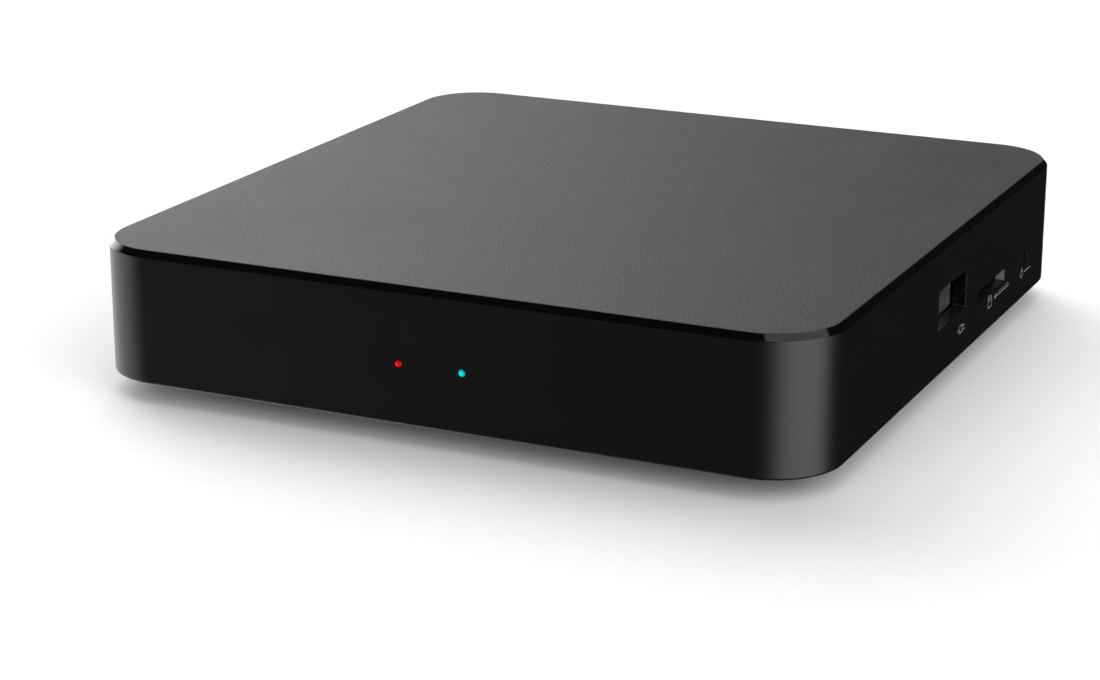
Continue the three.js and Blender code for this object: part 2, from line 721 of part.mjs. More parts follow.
function buildCase() {
  add(player, "top_housing", upperShell(), MATERIALS.casing);
  add(player, "bottom_cover", lowerCover(), MATERIALS.cover);
  add(player, "rating_label", label(), MATERIALS.label);
  for (const [corner, signX, signY] of CORNERS) {
    const [footX, footY] = footPlace(signX, signY);
    add(player, "foot_" + corner, foot(), MATERIALS.rubber, [footX, footY, 0]);
    const screwPlace = [signX * SCREW_X, signY * SCREW_Y, FOOT_HEIGHT + SCREW_SUNK];
    add(player, "case_screw_" + corner, caseScrew(), MATERIALS.blackSteel, screwPlace);
  }
}

// ---- Circuit board ------------------------------------------------------------------------

function mainBoard() {
  const x = INSIDE_X - BOARD_GAP;
  const y = INSIDE_Y - BOARD_GAP;
  const notch = POST_RADIUS + BOARD_GAP;
  const corners = CORNERS.map(([, signX, signY]) => {
    const inner = [signX * (SCREW_X - notch), signY * (SCREW_Y - notch)];
    const outer = [signX * CASE_WIDTH, signY * CASE_DEPTH];
    return block(
      [Math.min(inner[0], outer[0]), Math.min(inner[1], outer[1]), -BOARD_THICKNESS - OVERSHOOT],
      [Math.max(inner[0], outer[0]), Math.max(inner[1], outer[1]), OVERSHOOT],
    );
  });
  const holes = [
    ...BOARD_SCREWS.map(([, hx, hy]) => [hx, hy, BOARD_SCREW_RADIUS + BORE_GAP]),
    ...SINK_PINS.map(([, hx, hy]) => [hx, hy, SINK_PIN_RADIUS + BORE_GAP]),
  ].map(([hx, hy, radius]) =>
    rod(radius, hx, hy, -BOARD_THICKNESS - OVERSHOOT, OVERSHOOT, FINE_STEPS),
  );
  const sheet = block([-x, -y, -BOARD_THICKNESS], [x, y, 0]);
  return cut(sheet, [...corners, ...holes]);
}

function boardScrew() {
  const profile = [
    [0, -BOARD_THICKNESS - BOARD_SCREW_DEPTH],
    [BOARD_SCREW_RADIUS, BOARD_SCREW_RADIUS - BOARD_THICKNESS - BOARD_SCREW_DEPTH],
    [BOARD_SCREW_RADIUS, SEAT_GAP],
    [BOARD_SCREW_HEAD_RADIUS, SEAT_GAP],
    [BOARD_SCREW_HEAD_RADIUS, SEAT_GAP + BOARD_SCREW_HEAD_HEIGHT / 2],
    [BOARD_SCREW_HEAD_RADIUS / 2, SEAT_GAP + BOARD_SCREW_HEAD_HEIGHT],
    [0, SEAT_GAP + BOARD_SCREW_HEAD_HEIGHT],
  ];
  return turned(profile, FINE_STEPS);
}

// A chip or other flat part soldered on the board.
function flatPart(width, depth, tall) {
  return block([-width / 2, -depth / 2, SEAT_GAP], [width / 2, depth / 2, SEAT_GAP + tall]);
}

function heatSink() {
  const half = SINK_SIZE / 2;
  const pitch = (SINK_SIZE - SINK_FIN) / (SINK_FIN_COUNT - 1);
  const fins = [];
  for (let i = 0; i < SINK_FIN_COUNT; i++) {
    const x = i * pitch - half;
    const from = [x, -half, SINK_TOP - SINK_BASE / 2];
    fins.push(block(from, [x + SINK_FIN, half, SINK_TOP + SINK_FIN_TALL]));
  }
  const base = block([-half, -half, SINK_BOTTOM], [half, half, SINK_TOP]);
  const room = SINK_PIN_HEAD_RADIUS + 2 * BORE_GAP;
  const above = SINK_TOP + SINK_FIN_TALL + OVERSHOOT;
  const holes = SINK_PINS.map(([, pinX, pinY]) => {
    const x = pinX - CHIP_X;
    const y = pinY - CHIP_Y;
    const hole = rod(SINK_PIN_RADIUS + BORE_GAP, x, y, 0, above, FINE_STEPS);
    return hole.add(block([x - room, y - room, SINK_TOP], [x + room, y + room, above]));
  });
  return cut(join([base, ...fins]), holes);
}

// A push pin through the heat sink and the board, held by its barb.
function heatSinkPin() {
  const under = -BOARD_THICKNESS - SEAT_GAP;
  return turned(
    [
      [0, under - SINK_PIN_TAIL],
      [SINK_PIN_RADIUS / 2, under - SINK_PIN_TAIL],
      [SINK_PIN_BARB_RADIUS, under],
      [SINK_PIN_RADIUS, under],
      [SINK_PIN_RADIUS, SINK_TOP + SEAT_GAP],
      [SINK_PIN_HEAD_RADIUS, SINK_TOP + SEAT_GAP],
      [SINK_PIN_HEAD_RADIUS, SINK_TOP + SEAT_GAP + SINK_PIN_HEAD],
      [0, SINK_TOP + SEAT_GAP + SINK_PIN_HEAD],
    ],
    FINE_STEPS,
  );
}

function capacitor() {
  const waist = CAPACITOR_RADIUS - CAPACITOR_CRIMP_DEPTH;
  const can = turned([
    [0, SEAT_GAP],
    [CAPACITOR_RADIUS, SEAT_GAP],
    [CAPACITOR_RADIUS, CAPACITOR_CRIMP - CAPACITOR_CRIMP_DEPTH],
    [waist, CAPACITOR_CRIMP],
    [CAPACITOR_RADIUS, CAPACITOR_CRIMP + CAPACITOR_CRIMP_DEPTH],
    [CAPACITOR_RADIUS, CAPACITOR_TALL - CAPACITOR_CRIMP_DEPTH],
    [waist, CAPACITOR_TALL],
    [0, CAPACITOR_TALL],
  ], FINE_STEPS);
  return can.add(flatPart(CAPACITOR_BASE, CAPACITOR_BASE, CAPACITOR_BASE_TALL));
}

function inductor() {
  const core = rod(COIL_RADIUS, 0, 0, COIL_BASE / 2, COIL_TALL, FINE_STEPS);
  return flatPart(COIL_SIZE, COIL_SIZE, COIL_BASE).add(core);
}

function buildBoard() {
  add(onBoard, "main_board", mainBoard(), MATERIALS.board);
  for (const [corner, x, y] of BOARD_SCREWS) {
    add(onBoard, "board_screw_" + corner, boardScrew(), MATERIALS.steel, [x, y, 0]);
  }
  const chip = flatPart(CHIP_SIZE, CHIP_SIZE, CHIP_TALL);
  add(onBoard, "processor_chip", chip, MATERIALS.chip, [CHIP_X, CHIP_Y, 0]);
  const pad = flatPart(CHIP_SIZE, CHIP_SIZE, PAD_THICKNESS);
  add(onBoard, "thermal_pad", pad, MATERIALS.pad, [CHIP_X, CHIP_Y, CHIP_TALL + SEAT_GAP]);
  add(onBoard, "heat_sink", heatSink(), MATERIALS.aluminium, [CHIP_X, CHIP_Y, 0]);
  for (const [side, x, y] of SINK_PINS) {
    add(onBoard, "heat_sink_pin_" + side, heatSinkPin(), MATERIALS.plastic, [x, y, 0]);
  }
  const memory = flatPart(MEMORY_WIDTH, MEMORY_DEPTH, FLAT_PART_TALL);
  for (const [end, y] of Object.entries(MEMORY_YS)) {
    add(onBoard, "memory_chip_" + end, memory, MATERIALS.chip, [MEMORY_X, y, 0]);
  }
  const flash = flatPart(FLASH_WIDTH, MEMORY_DEPTH, FLAT_PART_TALL);
  add(onBoard, "flash_chip", flash, MATERIALS.chip, [FLASH_X, FLASH_INSET - INSIDE_Y, 0]);
  const powerChip = flatPart(POWER_CHIP_SIZE, POWER_CHIP_SIZE, FLAT_PART_TALL);
  const powerPlace = [INSIDE_X - POWER_CHIP_INSET, FLASH_INSET - INSIDE_Y, 0];
  add(onBoard, "power_chip", powerChip, MATERIALS.chip, powerPlace);
  const coilX = INSIDE_X - COIL_INSET;
  const coilY = BOARD_SCREW_FRONT_Y;
  add(onBoard, "inductor_front", inductor(), MATERIALS.plastic, [coilX, coilY, 0]);
  add(onBoard, "inductor_rear", inductor(), MATERIALS.plastic, [coilX, coilY + COIL_SPACING, 0]);
  const canY = INSIDE_Y - CAPACITOR_INSET;
  add(onBoard, "capacitor_left", capacitor(), MATERIALS.aluminium, [HDMI_X, canY, 0]);
  const rightCan = [HDMI_X + CAPACITOR_SPACING, canY, 0];
  add(onBoard, "capacitor_right", capacitor(), MATERIALS.aluminium, rightCan);
  const crystal = flatPart(CRYSTAL_WIDTH, CRYSTAL_DEPTH, FLAT_PART_TALL);
  add(onBoard, "crystal", crystal, MATERIALS.steel, [CRYSTAL_X, CRYSTAL_Y, 0]);
}

// ---- Wireless -----------------------------------------------------------------------------

// A coaxial lead with its press-on plug, from the radio to an antenna.
function antennaLead(points) {
  const curve = new THREE.CatmullRomCurve3(points.map(([x, y, z]) => new THREE.Vector3(x, y, z)));
  const [x, y, z] = points[0];
  const plug = rod(2 * LEAD_RADIUS, x, y, z - LEAD_RADIUS, z + 2 * LEAD_RADIUS, FINE_STEPS);
  return wire(curve, LEAD_RADIUS, LEAD_STEPS, LEAD_SIDES / 2).add(plug);
}

function buildWireless() {
  const shield = flatPart(RADIO_WIDTH, RADIO_DEPTH, RADIO_TALL);
  add(onBoard, "radio_shield", shield, MATERIALS.steel, [RADIO_X, RADIO_Y, 0]);
  const low = ANTENNA_LIFT;
  const high = ANTENNA_LIFT + ANTENNA_TALL;
  const sideX = SEAT_GAP - INSIDE_X;
  const sideFace = sideX + ANTENNA_THICKNESS;
  const side = block([sideX, -ANTENNA_LENGTH / 2, low], [sideFace, ANTENNA_LENGTH / 2, high]);
  add(onBoard, "antenna_side", side, MATERIALS.film);
  const frontY = SEAT_GAP - INSIDE_Y;
  const frontFace = frontY + ANTENNA_THICKNESS;
  const frontX = -SCREW_X + POST_RADIUS + BOARD_GAP;
  const front = block([frontX, frontY, low], [frontX + ANTENNA_LENGTH, frontFace, high]);
  add(onBoard, "antenna_front", front, MATERIALS.film);
  const lift = LEAD_RADIUS + SEAT_GAP;
  const radioLeft = RADIO_X - RADIO_WIDTH / 2 - 3 * LEAD_RADIUS;
  const radioFront = RADIO_Y - RADIO_DEPTH / 2 - 3 * LEAD_RADIUS;
  const touch = LEAD_RADIUS + LEAD_GAP;
  const middle = (low + high) / 2;
  const sideLead = antennaLead([
    [radioLeft, RADIO_Y, lift],
    [radioLeft - 2, RADIO_Y + 5, lift + 0.5],
    [radioLeft - 4, RADIO_Y + 10, lift + 3],
    [sideFace + touch, RADIO_Y + 17, middle],
    [sideFace + touch, RADIO_Y + 21, middle],
  ]);
  add(onBoard, "antenna_lead_side", sideLead, MATERIALS.plastic);
  const frontLead = antennaLead([
    [RADIO_X + 2, radioFront, lift],
    [RADIO_X + 2, radioFront - 6, lift + 0.5],
    [RADIO_X + 4, frontFace + touch + 4, middle - 3],
    [RADIO_X + 7, frontFace + touch, middle],
    [RADIO_X + 11, frontFace + touch, middle],
  ]);
  add(onBoard, "antenna_lead_front", frontLead, MATERIALS.plastic);
}

// ---- USB socket ---------------------------------------------------------------------------

function usbShell() {
  const y = USB_WIDTH / 2;
  const low = USB_HEIGHT - USB_TALL / 2;
  const high = USB_HEIGHT + USB_TALL / 2;
  const outer = block([-USB_LENGTH, -y, low], [0, y, high]);
  const inner = block(
    [-USB_LENGTH - OVERSHOOT, USB_SHEET - y, low + USB_SHEET],
    [OVERSHOOT, y - USB_SHEET, high - USB_SHEET],
  );
  const legs = [];
  const half = USB_LEG_WIDTH / 2;
  for (const x of USB_LEG_XS) {
    for (const from of [-y, y - USB_SHEET]) {
      legs.push(block([x - half, from, SEAT_GAP], [x + half, from + USB_SHEET, low + USB_SHEET]));
    }
  }
  return join([outer.subtract(inner), ...legs]);
}

const USB_TONGUE_TOP = USB_HEIGHT + USB_TONGUE_THICKNESS;

function usbTongue() {
  const y = USB_TONGUE_WIDTH / 2;
  const blockY = USB_WIDTH / 2 - USB_SHEET - SEAT_GAP;
  const blockZ = USB_TALL / 2 - USB_SHEET - SEAT_GAP;
  const back = block(
    [-USB_LENGTH, -blockY, USB_HEIGHT - blockZ],
    [USB_BLOCK_LENGTH - USB_LENGTH, blockY, USB_HEIGHT + blockZ],
  );
  const tongue = block([-USB_LENGTH, -y, USB_HEIGHT], [-USB_TONGUE_SETBACK, y, USB_TONGUE_TOP]);
  return back.add(tongue);
}

function usbContact() {
  const y = USB_CONTACT_WIDTH / 2;
  const back = USB_BLOCK_LENGTH - USB_LENGTH + SEAT_GAP;
  const top = USB_HEIGHT - SEAT_GAP / 2;
  return block([back, -y, top - USB_CONTACT_THICKNESS], [-USB_CONTACT_SETBACK, y, top]);
}

function buildUsbSocket() {
  const place = onRightEdge(USB_Y);
  add(place, "usb_shell", usbShell(), MATERIALS.steel);
  add(place, "usb_tongue", usbTongue(), MATERIALS.palePlastic);
  USB_CONTACT_YS.forEach((y, i) => {
    add(place, "usb_contact_" + (i + 1), usbContact(), MATERIALS.brass, [0, y, 0]);
  });
}

// ---- Memory card socket -------------------------------------------------------------------

const CARD_LOW = CARD_HEIGHT - CARD_SLOT_TALL / 2;
const CARD_HIGH = CARD_HEIGHT + CARD_SLOT_TALL / 2;
const SLIDER_Y = CARD_SLOT_WIDTH / 2 + SEAT_GAP + SLIDER_WIDTH / 2;

// The base has a rail on one side, and on the other a channel for the slider and its spring.
function cardSocketBase() {
  const y = CARD_SOCKET_WIDTH / 2 - CARD_SHEET - SEAT_GAP;
  const back = -CARD_SOCKET_LENGTH;
  const plate = block([back, -y, SEAT_GAP], [0, y, CARD_LOW]);
  const rail = block([back, -y, SEAT_GAP], [0, -CARD_SLOT_WIDTH / 2, CARD_HIGH]);
  const wall = block([back, -y, SEAT_GAP], [back + CARD_BACK_WALL, y, CARD_HIGH]);
  return join([plate, rail, wall]);
}

function cardSocketCover() {
  const y = CARD_SOCKET_WIDTH / 2;
  const top = CARD_HIGH + SEAT_GAP + CARD_SHEET;
  const outer = block([-CARD_SOCKET_LENGTH, -y, SEAT_GAP], [0, y, top]);
  const inner = block(
    [-CARD_SOCKET_LENGTH - OVERSHOOT, CARD_SHEET - y, -OVERSHOOT],
    [OVERSHOOT, y - CARD_SHEET, top - CARD_SHEET],
  );
  return outer.subtract(inner);
}

function cardSlider() {
  const y = SLIDER_WIDTH / 2;
  const back = -SLIDER_FRONT - SLIDER_LENGTH;
  const low = CARD_LOW + SEAT_GAP;
  const high = CARD_HIGH - SEAT_GAP;
  const body = block([back, SLIDER_Y - y, low], [-SLIDER_FRONT, SLIDER_Y + y, high]);
  const finger = block([back, SLIDER_Y - 3 * y, low], [back + 1, SLIDER_Y, high]);
  return body.add(finger);
}

function cardSpring() {
  const from = SEAT_GAP + CARD_BACK_WALL + SPRING_WIRE_RADIUS - CARD_SOCKET_LENGTH;
  const to = -SLIDER_FRONT - SLIDER_LENGTH - SEAT_GAP - SPRING_WIRE_RADIUS;
  const radius = CARD_SLOT_TALL / 2 - SPRING_WIRE_RADIUS - SEAT_GAP / 2;
  class Coil extends THREE.Curve {
    getPoint(t, target = new THREE.Vector3()) {
      const angle = 2 * Math.PI * SPRING_TURNS * t;
      const y = SLIDER_Y + radius * Math.cos(angle);
      return target.set(from + (to - from) * t, y, CARD_HEIGHT + radius * Math.sin(angle));
    }
  }
  return wire(new Coil(), SPRING_WIRE_RADIUS, SPRING_TURNS * SPRING_STEPS, SPRING_SIDES / 2);
}

function buildCardSocket() {
  const place = onRightEdge(CARD_Y);
  add(place, "card_socket_base", cardSocketBase(), MATERIALS.plastic);
  add(place, "card_socket_cover", cardSocketCover(), MATERIALS.steel);
  add(place, "card_slider", cardSlider(), MATERIALS.palePlastic);
  add(place, "card_spring", cardSpring(), MATERIALS.steel);
}

// ---- Reset switch -------------------------------------------------------------------------

function resetSwitch() {
  const y = RESET_WIDTH / 2;
  const body = block([-RESET_SETBACK - RESET_DEPTH, -y, SEAT_GAP], [-RESET_SETBACK, y, RESET_TALL]);
  const room = SEAT_GAP;
  const pocket = block(
    [
      -RESET_SETBACK - PLUNGER_POCKET - PLUNGER_TRAVEL - room,
      -PLUNGER_WIDTH / 2 - room,
      RESET_HEIGHT - PLUNGER_TALL / 2 - room,
    ],
    [0, PLUNGER_WIDTH / 2 + room, RESET_HEIGHT + PLUNGER_TALL / 2 + room],
  );
  return body.subtract(pocket);
}

function resetPlunger() {
  return block(
    [-RESET_SETBACK - PLUNGER_POCKET, -PLUNGER_WIDTH / 2, RESET_HEIGHT - PLUNGER_TALL / 2],
    [PLUNGER_PROUD - RESET_SETBACK, PLUNGER_WIDTH / 2, RESET_HEIGHT + PLUNGER_TALL / 2],
  );
}

function buildResetSwitch() {
  const place = onRightEdge(RESET_Y);
  add(place, "reset_switch", resetSwitch(), MATERIALS.steel);
  add(place, "reset_plunger", resetPlunger(), MATERIALS.plastic);
}

// ---- Lamps and remote-control receiver ----------------------------------------------------

// A light pipe fills its hole in the wall, and a flange behind the wall holds it.
function lightPipe() {
  const outside = PORT_SETBACK + WALL - SEAT_GAP;
  const flangeFront = PORT_SETBACK - SEAT_GAP;
  const profile = [
    [0, PORT_SETBACK - PIPE_LENGTH],
    [PIPE_RADIUS, PORT_SETBACK - PIPE_LENGTH],
    [PIPE_RADIUS, flangeFront - PIPE_FLANGE],
    [PIPE_FLANGE_RADIUS, flangeFront - PIPE_FLANGE],
    [PIPE_FLANGE_RADIUS, flangeFront],
    [LAMP_LENS_RADIUS, flangeFront],
    [LAMP_LENS_RADIUS, outside],
    [0, outside],
  ];
  return turned(profile).rotate(0, 90, 0).translate(0, 0, LAMP_HEIGHT);
}

// A round lamp lies on its side behind its light pipe, on two bent legs.
function lamp() {
  const front = PORT_SETBACK - PIPE_LENGTH - SEAT_GAP;
  const back = front - LAMP_LENGTH;
  const flange = LAMP_RADIUS + LAMP_FLANGE;
  const profile = [
    [0, back],
    [flange, back],
    [flange, back + LAMP_FLANGE_LENGTH],
    [LAMP_RADIUS, back + LAMP_FLANGE_LENGTH],
  ];
  for (const angle of [0, Math.PI / 8, Math.PI / 4, (3 * Math.PI) / 8]) {
    profile.push([LAMP_RADIUS * Math.cos(angle), front - LAMP_RADIUS * (1 - Math.sin(angle))]);
  }
  profile.push([0, front]);
  const body = turned(profile, FINE_STEPS).rotate(0, 90, 0).translate(0, 0, LAMP_HEIGHT);
  const half = LAMP_LEG / 2;
  const legEnd = back - LAMP_LEG_REACH;
  const legs = [-LAMP_LEG_SPACING / 2, LAMP_LEG_SPACING / 2].map((y) => {
    const high = LAMP_HEIGHT + half;
    const level = block([legEnd, y - half, LAMP_HEIGHT - half], [back + half, y + half, high]);
    return level.add(block([legEnd, y - half, SEAT_GAP], [legEnd + LAMP_LEG, y + half, high]));
  });
  return join([body, ...legs]);
}

function receiver() {
  const y = RECEIVER_WIDTH / 2;
  const front = -RECEIVER_SETBACK;
  const body = block([front - RECEIVER_DEPTH, -y, SEAT_GAP], [front, y, RECEIVER_TALL]);
  const tip = front + RECEIVER_LENS_PROUD;
  const middle = front - RECEIVER_DEPTH / 2;
  return body.add(rodAlongX(RECEIVER_LENS_RADIUS, middle, tip, 0, RECEIVER_LENS_HEIGHT));
}

function buildFront() {
  for (const [colour, x] of LAMPS) {
    const place = onFrontEdge(x);
    const finish = MATERIALS[colour + "Lens"];
    add(place, "light_pipe_" + colour, lightPipe(), finish);
    add(place, "lamp_" + colour, lamp(), finish);
  }
  add(onFrontEdge(RECEIVER_X), "remote_receiver", receiver(), MATERIALS.chip);
}

// ---- Rear sockets -------------------------------------------------------------------------

function powerJack() {
  const y = POWER_WIDTH / 2;
  const body = block([-POWER_LENGTH, -y, SEAT_GAP], [0, y, POWER_TALL]);
  return body.subtract(rodAlongX(POWER_BORE_RADIUS, -POWER_BORE_DEPTH, OVERSHOOT, 0, POWER_HEIGHT));
}

function powerJackPin() {
  const back = SEAT_GAP - POWER_BORE_DEPTH;
  return rodAlongX(POWER_PIN_RADIUS, back, -POWER_PIN_SETBACK, 0, POWER_HEIGHT, FINE_STEPS);
}

function hdmiOutline(width, tall, corner) {
  const y = width / 2;
  const z = tall / 2;
  const shape = new THREE.Shape();
  shape.moveTo(-y, HDMI_HEIGHT + z);
  shape.lineTo(-y, HDMI_HEIGHT - z + corner);
  shape.lineTo(-y + corner, HDMI_HEIGHT - z);
  shape.lineTo(y - corner, HDMI_HEIGHT - z);
  shape.lineTo(y, HDMI_HEIGHT - z + corner);
  shape.lineTo(y, HDMI_HEIGHT + z);
  return shape;
}

function hdmiShell() {
  const outer = drawnAlongX(hdmiOutline(HDMI_WIDTH, HDMI_TALL, HDMI_FOOT_CUT), -HDMI_LENGTH, 0);
  const width = HDMI_WIDTH - 2 * HDMI_SHEET;
  const tall = HDMI_TALL - 2 * HDMI_SHEET;
  const inner = hdmiOutline(width, tall, HDMI_FOOT_CUT);
  const back = -HDMI_LENGTH - OVERSHOOT;
  return outer.subtract(drawnAlongX(inner, back, OVERSHOOT));
}

function hdmiTongue() {
  const room = 2 * (HDMI_SHEET + SEAT_GAP);
  const inner = hdmiOutline(HDMI_WIDTH - room, HDMI_TALL - room, HDMI_FOOT_CUT);
  const back = drawnAlongX(inner, -HDMI_LENGTH, HDMI_BLOCK_LENGTH - HDMI_LENGTH);
  const y = HDMI_TONGUE_WIDTH / 2;
  const z = HDMI_TONGUE_THICKNESS / 2;
  const front = -HDMI_TONGUE_SETBACK;
  const tongue = block([-HDMI_LENGTH, -y, HDMI_HEIGHT - z], [front, y, HDMI_HEIGHT + z]);
  return back.add(tongue);
}

function avJack() {
  const y = AV_WIDTH / 2;
  const axis = AV_TALL / 2;
  const body = block([-AV_LENGTH, -y, SEAT_GAP], [-AV_COLLAR, y, AV_TALL]);
  const collar = rodAlongX(AV_COLLAR_RADIUS, -2 * AV_COLLAR, 0, 0, axis);
  const bore = rodAlongX(AV_BORE_RADIUS, AV_BACK - AV_LENGTH, OVERSHOOT, 0, axis);
  return body.add(collar).subtract(bore);
}

function networkJack() {
  const y = NETWORK_WIDTH / 2;
  const body = block([-NETWORK_LENGTH, -y, SEAT_GAP], [0, y, NETWORK_TALL]);
  const portTop = NETWORK_PORT_FLOOR + NETWORK_PORT_TALL;
  const port = block(
    [-NETWORK_PORT_DEPTH, -NETWORK_PORT_WIDTH / 2, NETWORK_PORT_FLOOR],
    [OVERSHOOT, NETWORK_PORT_WIDTH / 2, portTop],
  );
  const latch = block(
    [-NETWORK_PORT_DEPTH / 2, -NETWORK_LATCH_WIDTH / 2, NETWORK_PORT_FLOOR - NETWORK_LATCH_TALL],
    [OVERSHOOT, NETWORK_LATCH_WIDTH / 2, portTop],
  );
  return body.subtract(port).subtract(latch);
}

function buildRear() {
  const power = onRearEdge(POWER_X);
  add(power, "power_jack", powerJack(), MATERIALS.plastic);
  add(power, "power_jack_pin", powerJackPin(), MATERIALS.brass);
  const hdmi = onRearEdge(HDMI_X);
  add(hdmi, "hdmi_shell", hdmiShell(), MATERIALS.steel);
  add(hdmi, "hdmi_tongue", hdmiTongue(), MATERIALS.plastic);
  add(onRearEdge(AV_X), "av_jack", avJack(), MATERIALS.plastic);
  add(onRearEdge(NETWORK_X), "network_jack", networkJack(), MATERIALS.plastic);
}

buildCase();
buildBoard();
buildWireless();
buildUsbSocket();
buildCardSocket();
buildResetSwitch();
buildFront();
buildRear();

export default player;
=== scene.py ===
import math

import bmesh
import bpy
from bpy.props import FloatProperty, FloatVectorProperty, PointerProperty
from bpy.types import Operator, Panel, PropertyGroup
from mathutils import Matrix, Vector


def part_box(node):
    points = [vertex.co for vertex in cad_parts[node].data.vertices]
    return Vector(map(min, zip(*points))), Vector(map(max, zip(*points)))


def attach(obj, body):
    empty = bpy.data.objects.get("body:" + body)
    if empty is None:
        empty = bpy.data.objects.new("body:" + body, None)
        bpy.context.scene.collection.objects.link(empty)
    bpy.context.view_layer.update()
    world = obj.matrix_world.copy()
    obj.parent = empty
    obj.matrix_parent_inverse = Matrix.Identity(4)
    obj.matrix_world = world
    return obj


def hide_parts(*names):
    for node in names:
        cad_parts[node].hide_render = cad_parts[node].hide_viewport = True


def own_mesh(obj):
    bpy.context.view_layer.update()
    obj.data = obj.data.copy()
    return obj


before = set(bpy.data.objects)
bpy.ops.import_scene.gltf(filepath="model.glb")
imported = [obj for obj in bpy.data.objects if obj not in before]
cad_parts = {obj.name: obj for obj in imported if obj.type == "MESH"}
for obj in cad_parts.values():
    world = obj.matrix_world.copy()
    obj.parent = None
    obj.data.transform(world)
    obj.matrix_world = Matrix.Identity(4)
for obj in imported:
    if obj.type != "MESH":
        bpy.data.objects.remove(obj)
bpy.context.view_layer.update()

bl_info = {
    "name": "Streaming Media Player",
    "version": (1, 0, 0),
    "blender": (4, 5, 0),
    "location": "3D View > Sidebar > Media Player",
    "description": "Builds a flat black television box with its sockets, lamps and feet",
    "category": "Add Mesh",
}

# ---- Sizes, in millimetres

MM = 0.001
OVERSHOOT = 1.0  # how far a cutter runs past the face it opens
SLIVER = 2e-4  # edges shorter than this are taken out of a finished piece

# Upper shell
EDGE_INSET = 0.85
EDGE_DROP = 1.0
WALL = 2.0
ROOF, ROOF_FILLET = 2.0, 0.6
POST_RADIUS = 3.2
POST_SEAT = 3.4  # height of the posts' lower ends above the cover's lowest face
POST_RIB = 1.2
POST_BORE = 1.5
POST_BORE_TOP = 12.8
CORNER_SEGMENTS = 24
MOUTH_ROUND = 0.12  # rounding of a mouth's outer edge

# Lower cover
PLATE_LOW = 3.5
PLATE_GAP = 0.25
PLINTH_INSET = 4.5
FLOOR_THICKNESS = 1.8
VENTS = 9
VENT_WIDTH = 1.6
VENT_LENGTH = 26.0
VENT_PITCH = 4.2
VENT_Y = 12.0
STANDOFF_RADIUS = 2.8
STANDOFF_BORE = 1.4
PILLAR_RADIUS = 4.3
WELL_RADIUS = 2.7
FOOT_RECESS_RADIUS = 6.7
FOOT_RECESS = 0.6
LABEL_RECESS, LABEL_GAP = 0.4, 0.2

# Feet: how far in from the rim, and how high, the underside runs
FOOT_DISH = 0.2
FOOT_UNDERSIDE = [
    (2.0, FOOT_DISH), (1.75, 0.03), (1.6, 0), (0.7, 0), (0.4, 0.08), (0.15, 0.28), (0, 0.6),
]

# Case screws: the head's profile as pairs of radius and height, the thread and the recess
SCREW_HEAD = [(0, 0), (1.5, 0), (2.1, 0.15), (2.4, 0.5), (2.5, 0.9), (2.5, 1.4), (1.15, 1.4)]
THREAD_START, THREAD_PITCH = 1.9, 0.7
CROSS_ARM, CROSS_DEPTH = (2.8, 0.62), 0.9

# Sockets
USB_WIDTH, USB_TALL, USB_SHEET = 13.1, 5.7, 0.3
TAB_LENGTH, TAB_BOW = 5.9, 0.5
CARD_MOUTH = (13.0, 1.3)
CARD_FLARE, CARD_FLARE_DEPTH = (0.9, 0.35), 1.2  # along and across the mouth, at the outside
RESET_RADIUS = 0.73
INK_LINE, INK_THICKNESS, INK_SUNK = 0.2, 0.03, 0.01
LENS_RADIUS, LENS_HOLE, LENS_DOME = 0.6, 0.7, 0.22
POWER_BORE, POWER_HOLE = 3.2, 4.2
HDMI_WIDTH, HDMI_TALL, HDMI_SHEET, HDMI_SLANT = 15.0, 5.6, 0.35, 1.6
HDMI_TONGUE = 0.55  # half of the tongue's thickness
HDMI_CONTACTS, HDMI_PITCH = 19, 0.5
AV_BORE, AV_COLLAR, AV_HOLE, AV_AXIS_DROP = 1.8, 2.8, 3.1, 3.0
NETWORK_PORT = (12.0, 7.0)
NETWORK_LATCH = (6.2, 1.2)
NETWORK_MOUTH, NETWORK_MOUTH_HEIGHT = (16.6, 12.1), 15.15
NETWORK_DEPTH, NETWORK_WIRE = 12.0, 10.3
NETWORK_CONTACTS, NETWORK_PITCH = 8, 1.02

CORNERS = {
    "front_left": (-1, -1), "front_right": (1, -1), "rear_left": (-1, 1), "rear_right": (1, 1),
}


def node_box(node):
    """Lowest and highest corner of a frame node, in millimetres."""
    low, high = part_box(node)
    return low / MM, high / MM


def node_centre(node):
    low, high = node_box(node)
    return (low + high) / 2


SHELL_LOW, SHELL_HIGH = node_box("top_housing")
INSIDE = Vector((SHELL_HIGH.x - WALL, SHELL_HIGH.y - WALL, SHELL_HIGH.z - ROOF))

# ---- Properties


def number(name, description, default, **more):
    return FloatProperty(name=name, description=description, default=default, **more)


def hex_to_linear(code):
    """An sRGB hex colour as linear red, green and blue."""
    parts = [int(code[i : i + 2], 16) / 255 for i in (1, 3, 5)]
    return [c / 12.92 if c <= 0.04045 else ((c + 0.055) / 1.055) ** 2.4 for c in parts]


def colour(name, description, code):
    return FloatVectorProperty(
        name=name, description=description, default=hex_to_linear(code), subtype="COLOR",
        min=0, max=1,
    )


class PLAYER_PG_case(PropertyGroup):
    """Sizes of the case."""

    corner_radius: number("Corner radius", "Of the four upright corners", 10.7 * MM, unit="LENGTH")
    edge_round: number("Edge rounding", "At both sides of the chamfer", 0.1 * MM, unit="LENGTH")
    rim_round: number("Rim rounding", "At the walls' lower rim", 0.4 * MM, unit="LENGTH")


